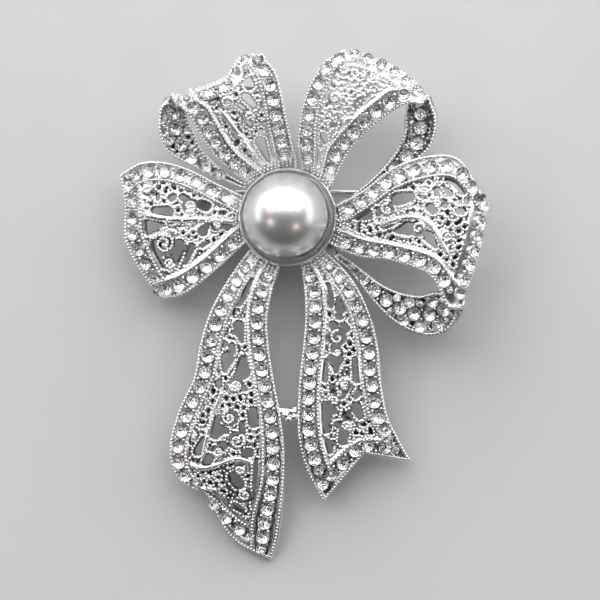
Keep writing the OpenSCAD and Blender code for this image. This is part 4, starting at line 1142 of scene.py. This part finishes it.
# Grains that round off a folded end: along, across, radius
TIPS = {
    "UL": [(0.72, 0.99, 0.52), (0.75, 0.955, 0.42), (0.8, 0.9, 0.42), (0.82, 0.84, 0.36),
           (0.66, 1.0, 0.36)],
    "UR": [(0.72, 0.01, 0.5), (0.66, 0.0, 0.36), (0.8, 0.08, 0.4)],
    "RL": [(0.72, 0.01, 0.5), (0.66, 0.0, 0.36), (0.8, 0.06, 0.4), (0.9, 0.97, 0.45)],
}
# Columns: name, node, metal, painted light added to the whole ribbon (a lighter or darker painted tone),
# radii of pits, radius of the end row's stones, width of the end row, where rows of grains lie beside it,
# how far small stones run, straight across or not
RIBBONS = {
    "UL": ("upper_left", "upper_left_loop", cast_soft, 0.22, (0.13, 0.26), 0.66, 1.9,
           (-0.95, 0.8, 1.3), 0.7, 0),
    # Painted light: the upper right ribbon is painted far lighter than the rest, in the lighter copy of
    # the metal
    "UR": ("upper_right", "upper_right_loop", cast_painted_lit, 0.62, (0.08, 0.16), 0.86, BORDER_W,
           (-1.25, 1.25, 1.75), 0.8, 0),
    "RL": ("right", "right_loop", cast, 0.08, (0.15, 0.28), 0.86, BORDER_W, (-1.25, 1.25, 1.75), 0.8, 0),
    "LP": ("petal", "left_petal", cast, 0.12, (0.15, 0.28), 0.95, BORDER_W, (-1.3,), 0.975, 0),
    "LT": ("left_tail", "left_tail", cast, 0.0, (0.16, 0.3), 0.95, BORDER_W, (-1.3,), 0.975, 0),
    "RT": ("right_tail", "right_tail", cast, 0.0, (0.16, 0.3), 0.95, BORDER_W, (-1.3,), 0.975, 1),
}
# Columns: painted light added to the whole strip (below 0 a painted shade, as the strips lie under the
# fronts of their loops), start of the row of stones, small stones beside it (from u, to u, t)
STRIPS = {
    "UL": (0.24, 0.2, [(0.5, 0.8, 0.24)]),
    "UR": (-0.14, 0.5, [(0.6, 0.9, 0.24)]),
    "RL": (-0.3, 0.2, [(0.5, 0.92, 0.22), (0.5, 0.92, 0.78)]),
}
# Small stones across the ends: where on the right edge they stop, and more lines of them at these u
FILL_FROM, FILL_TO, FILL_MOST = 0.05, {"UL": 0.9}, 0.95
MORE_FILL_U, MORE_FILL_T = {"UL": (0.7, 0.66, 0.63)}, (0.74, 0.88)
EDGE_SHARES, EDGE_GRAIN_H, EDGE_FROM, EDGE_TO = (0.1, 0.895), 0.16, 0.06, 0.99
RIM_U, RIM_GRAIN_H, RIM_GRAIN_R, RIM_PITCH = 0.988, 0.1, 0.27, 0.52
STRIP_ROW_HALF, STRIP_TO, STRIP_END = 0.95, 0.88, 0.97
STRIP_GRAIN_H, STRIP_EDGE_FROM = 0.17, 0.12
STRIP_SEED = 20

for seed, (key, row) in enumerate(RIBBONS.items(), 3):
    label, node, front_metal, painted_light, pits, end_r, end_w, beside, fill_to, sharp = row
    secs, loop = front[key], key in back
    left_to, right_to, end_from, end_to = END_ROWS[key]
    slots = shares(GAPS[key]) * ([*REACH[key], SLOT_R] * 2)
    lace = Lace(slots, SCROLLS[key], BANDS[key], RECESSES[key])
    ob, sets = sheet(label + "_ribbon", secs, front_metal, sharp, lace, (end_from, end_to), seed=seed,
                     pits=pits, painted_light_offset=painted_light, end_ridge=0.3 if loop else 0.7, end_w=end_w)
    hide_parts(node)
    for share in EDGE_SHARES:
        sets += edge_rows(secs, sharp, EDGE_GRAIN_H, share, EDGE_FROM, EDGE_TO)
    sets += root_rows(secs, sharp)
    if loop:
        u, t, r = np.array(TIPS[key]).T
        sets.append(upright(on(secs, u, t), r))
    for shift in beside:
        sets.append(cross_row(secs, sharp, (end_from, end_to), shift, EDGE_GRAIN_H))
    if not loop:
        rim = spread(secs, path([RIM_U, 0.01], [RIM_U, 0.99]), sharp, RIM_PITCH)
        sets.append(grains_at(secs, rim, sharp, RIM_GRAIN_H, RIM_GRAIN_R))
    groups = [(secs, side_path(secs, "left", left_to), BORDER_SHARE, sharp, STONE_D / 2),
              (secs, side_path(secs, "right", right_to), BORDER_SHARE, sharp, STONE_D / 2),
              (secs, path(end_from, end_to), BORDER_SHARE, sharp, end_r)]
    lines = [side_path(secs, "left", fill_to, left_to), side_path(secs, "right", fill_to, right_to),
             path(end_from, [end_from[0], FILL_FROM]),
             path(end_to, [end_to[0], FILL_TO.get(key, FILL_MOST)])]
    lines += [path([u, MORE_FILL_T[0]], [u, MORE_FILL_T[1]]) for u in MORE_FILL_U.get(key, ())]
    fill = [(secs, lines, sharp)]
    if loop:
        painted_light, row_from, beside = STRIPS[key]
        strip = back[key]
        more = sheet(label + "_strip", strip, cast, relief=STRIP_RELIEF, border_of=strip_border,
                     row_half=STRIP_ROW_HALF, seed=seed + STRIP_SEED, painted_light_offset=painted_light)[1]
        sets += more + edge_rows(strip, 0, STRIP_GRAIN_H, 0.5, STRIP_EDGE_FROM, STRIP_END, strip_border)
        groups.append((strip, path([row_from, 0.5], [STRIP_TO, 0.5]), STRIP_SHARE, 0, STONE_D / 2))
        lines = [path([STRIP_TO, 0.5], [STRIP_END, 0.5])] + [path([a, t], [b, t]) for a, b, t in beside]
        fill.append((strip, lines, 0))
    sets += stones(label + "_stones_cut", groups, fill, label + "_stones", seed, not loop)
    grains(label + "_grains", sets, grain)


# Pearl, dish and bridge
DISH_SIDES, WALL_STEPS, WALL_CURVE, WALL_IN_TOP, PEARL_UNEVEN = 128, 24, 1.05, 0.955, 0.0012
# The dish's rounded lip, from the top of its wall
LIP = [(0.02, 0.15), (0.01, 0.35), (-0.06, 0.52), (-0.16, 0.6), (-0.26, 0.56)]
BRIDGE_SIDES, BRIDGE_STEPS, BRIDGE_R, BRIDGE_WIDER = 16, 15, (0.7, 0.5), (0.3, 0.1)
BRIDGE_IN, BRIDGE_CLEAR = 0.6, 0.1
KNOT = [[-0.45, -0.4, 0], [0.4, 0.1, 0.05], [0.0, -1.05, -0.15], [0.85, -0.7, -0.1]]
KNOT_R, EDGE_BEVEL = 0.62, 0.07


def lathe(name, profile, sides, material, slot):
    """A turned piece from its profile of radius and height, closed on the axis where the radius is 0."""
    bm = bmesh.new()
    rings = [[bm.verts.new(p) for p in ring(r, z, sides if r else 1)] for r, z in profile]
    for a, b in zip(rings[:-1], rings[1:]):
        for k in range(sides):
            n = (k + 1) % sides
            corners = a[k % len(a)], a[n % len(a)], b[n % len(b)], b[k % len(b)]
            bm.faces.new(list(dict.fromkeys(corners)))
    bmesh.ops.recalc_face_normals(bm, faces=bm.faces[:])
    return new_piece(name, *mesh_of(bm), material, slot=slot, smooth_angle=50)


def cup_wall(k):
    rise = (CUP_DEPTH - CUP_WALL) * k ** WALL_CURVE
    return np.array([CUP_FLAT_R + (CUP_R - CUP_FLAT_R) * k, CUP_Z + rise])


inner = np.array([-CUP_WALL / 3, CUP_WALL])
foot = FLANGE_TOP + SEAT_GAP
profile = [(0, foot), (CUP_POST_R, foot), (CUP_POST_R, CUP_Z)]
profile += [cup_wall(k) for k in np.linspace(0, 1, WALL_STEPS + 1)] + [cup_wall(1) + p for p in LIP]
profile += [cup_wall(k) + inner for k in np.linspace(WALL_IN_TOP, 0, WALL_STEPS)]
profile.append((0, CUP_Z + CUP_WALL))
cup = lathe("dish", profile, DISH_SIDES, polish, "polished_metal")
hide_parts("pearl_cup")

bm = bmesh.new()
bmesh.ops.create_icosphere(bm, subdivisions=6, radius=1)
ball, faces = mesh_of(bm)
x, y, z = np.array(ball).T
swell = 1 + PEARL_UNEVEN * np.sin(5 * x + 1) * np.sin(4 * y) * np.cos(6 * z)
verts = PEARL_D / 2 * np.array(ball) * swell[:, None] + [0, 0, CUP_Z + CUP_WALL + PEARL_GAP + PEARL_D / 2]
pearl = new_piece("nacre_pearl", verts, faces, nacre, slot="pearl", smooth_angle=180)
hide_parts("pearl")

start = on(front["LT"], BRIDGE_U, 0)
edge = on(front["RT"], np.linspace(0, 1, 200), 1, 1)
stop = edge[np.abs(edge[:, 1] - start[1]) < BRIDGE_W][:, 0].min() - BRIDGE_CLEAR
verts = []
bar = np.linspace(start[0] - BRIDGE_IN, stop, BRIDGE_STEPS)
for x, s in zip(bar, np.linspace(-1, 1, BRIDGE_STEPS)):
    ry, rz = (r + wider * s ** 2 for r, wider in zip(BRIDGE_R, BRIDGE_WIDER))
    for c, d, _ in ring(1, 0, BRIDGE_SIDES):
        verts.append((x, start[1] + ry * c, start[2] - SHEET_T / 2 + rz * d))
ends = [list(range(BRIDGE_SIDES)), list(range(len(verts) - BRIDGE_SIDES, len(verts)))[::-1]]
new_piece("bridge", verts, ring_faces(BRIDGE_STEPS, BRIDGE_SIDES) + ends, grain, smooth_angle=60)
knot = np.array([(start[0] + stop) / 2, start[1], start[2] - 0.05]) + KNOT
grains("bridge_grain", [upright(knot, KNOT_R)], grain)

for name in ("base_plate", "pin_hinge", "pin_catch", "pin_stem"):
    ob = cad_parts[name]
    ob.data.materials.clear()
    ob.data.materials.append(plain)
    bevel = ob.modifiers.new("edges", "BEVEL")
    bevel.width, bevel.segments, bevel.limit_method = EDGE_BEVEL * MM, 2, "ANGLE"
    bevel.angle_limit = math.radians(50)

# Floor and lights, in metres
bpy.ops.mesh.primitive_plane_add(size=3, location=(0, 0, cad_box[0][2]))
floor = bpy.context.object
floor.name = "floor"
floor.data.materials.append(floor_material())

world = bpy.data.worlds.new("studio")
bpy.context.scene.world = world
world.use_nodes = True
background = world.node_tree.nodes["Background"].inputs
background["Color"].default_value, background["Strength"].default_value = (0.9, 0.95, 1, 1), 0.06


def area(name, place, size, power, color=(1, 1, 1), aim=(0, -0.01, 0)):
    light = bpy.data.lights.new(name, "AREA")
    light.color = color
    light.shape, light.size, light.size_y, light.energy = "RECTANGLE", *size, power
    ob = bpy.data.objects.new(name, light)
    bpy.context.scene.collection.objects.link(ob)
    ob.location = place
    ob.rotation_euler = (Vector(aim) - Vector(place)).to_track_quat("-Z", "Y").to_euler()


KEY_STEP, WARM = 0.36, (1, 0.8, 0.68)
for k in range(4):
    key_x = (k - 1.5) * KEY_STEP
    area("key_%d" % k, (key_x, 0.42, 0.43), (0.31, 0.86), 2.5, aim=(key_x, -0.01, 0))
area("side_left", (-0.75, 0.2, 0.2), (0.8, 0.26), 1.6)
area("side_right", (0.75, 0.16, 0.22), (0.9, 0.3), 1.9)
area("lamp_left", (-0.36, -0.2, 0.46), (0.09, 0.09), 0.22, WARM)
area("lamp_right", (0.34, -0.34, 0.46), (0.09, 0.09), 0.22, WARM)

# Camera: the photo's scale and the place of the dish in it, and a lean to the right and down
MM_PER_PX, CUP_PX, HALF_PX = 0.15, (288, 217), 300
DISTANCE, SENSOR, AIM_Z, TILTED, LEAN = 0.42, 36, 4, math.radians(4), (0.96, -0.28, 0)
aim = Vector(((HALF_PX - CUP_PX[0]) * MM_PER_PX * MM, (CUP_PX[1] - HALF_PX) * MM_PER_PX * MM, AIM_Z * MM))
camera = bpy.data.cameras.new("camera")
camera.sensor_width = SENSOR
camera.lens = SENSOR * DISTANCE / (2 * HALF_PX * MM_PER_PX * MM)
camera.clip_start, camera.clip_end = 0.01, 10
eye = bpy.data.objects.new("camera", camera)
bpy.context.scene.collection.objects.link(eye)
eye.location = aim + (Vector(LEAN) * math.sin(TILTED) + Vector((0, 0, math.cos(TILTED)))) * DISTANCE
out_of = (eye.location - aim).normalized()
across = Vector((0, 1, 0)).cross(out_of).normalized()
eye.rotation_euler = Matrix((across, out_of.cross(across), out_of)).transposed().to_euler()
bpy.context.scene.camera = eye

bpy.context.scene.view_settings.view_transform = "Standard"
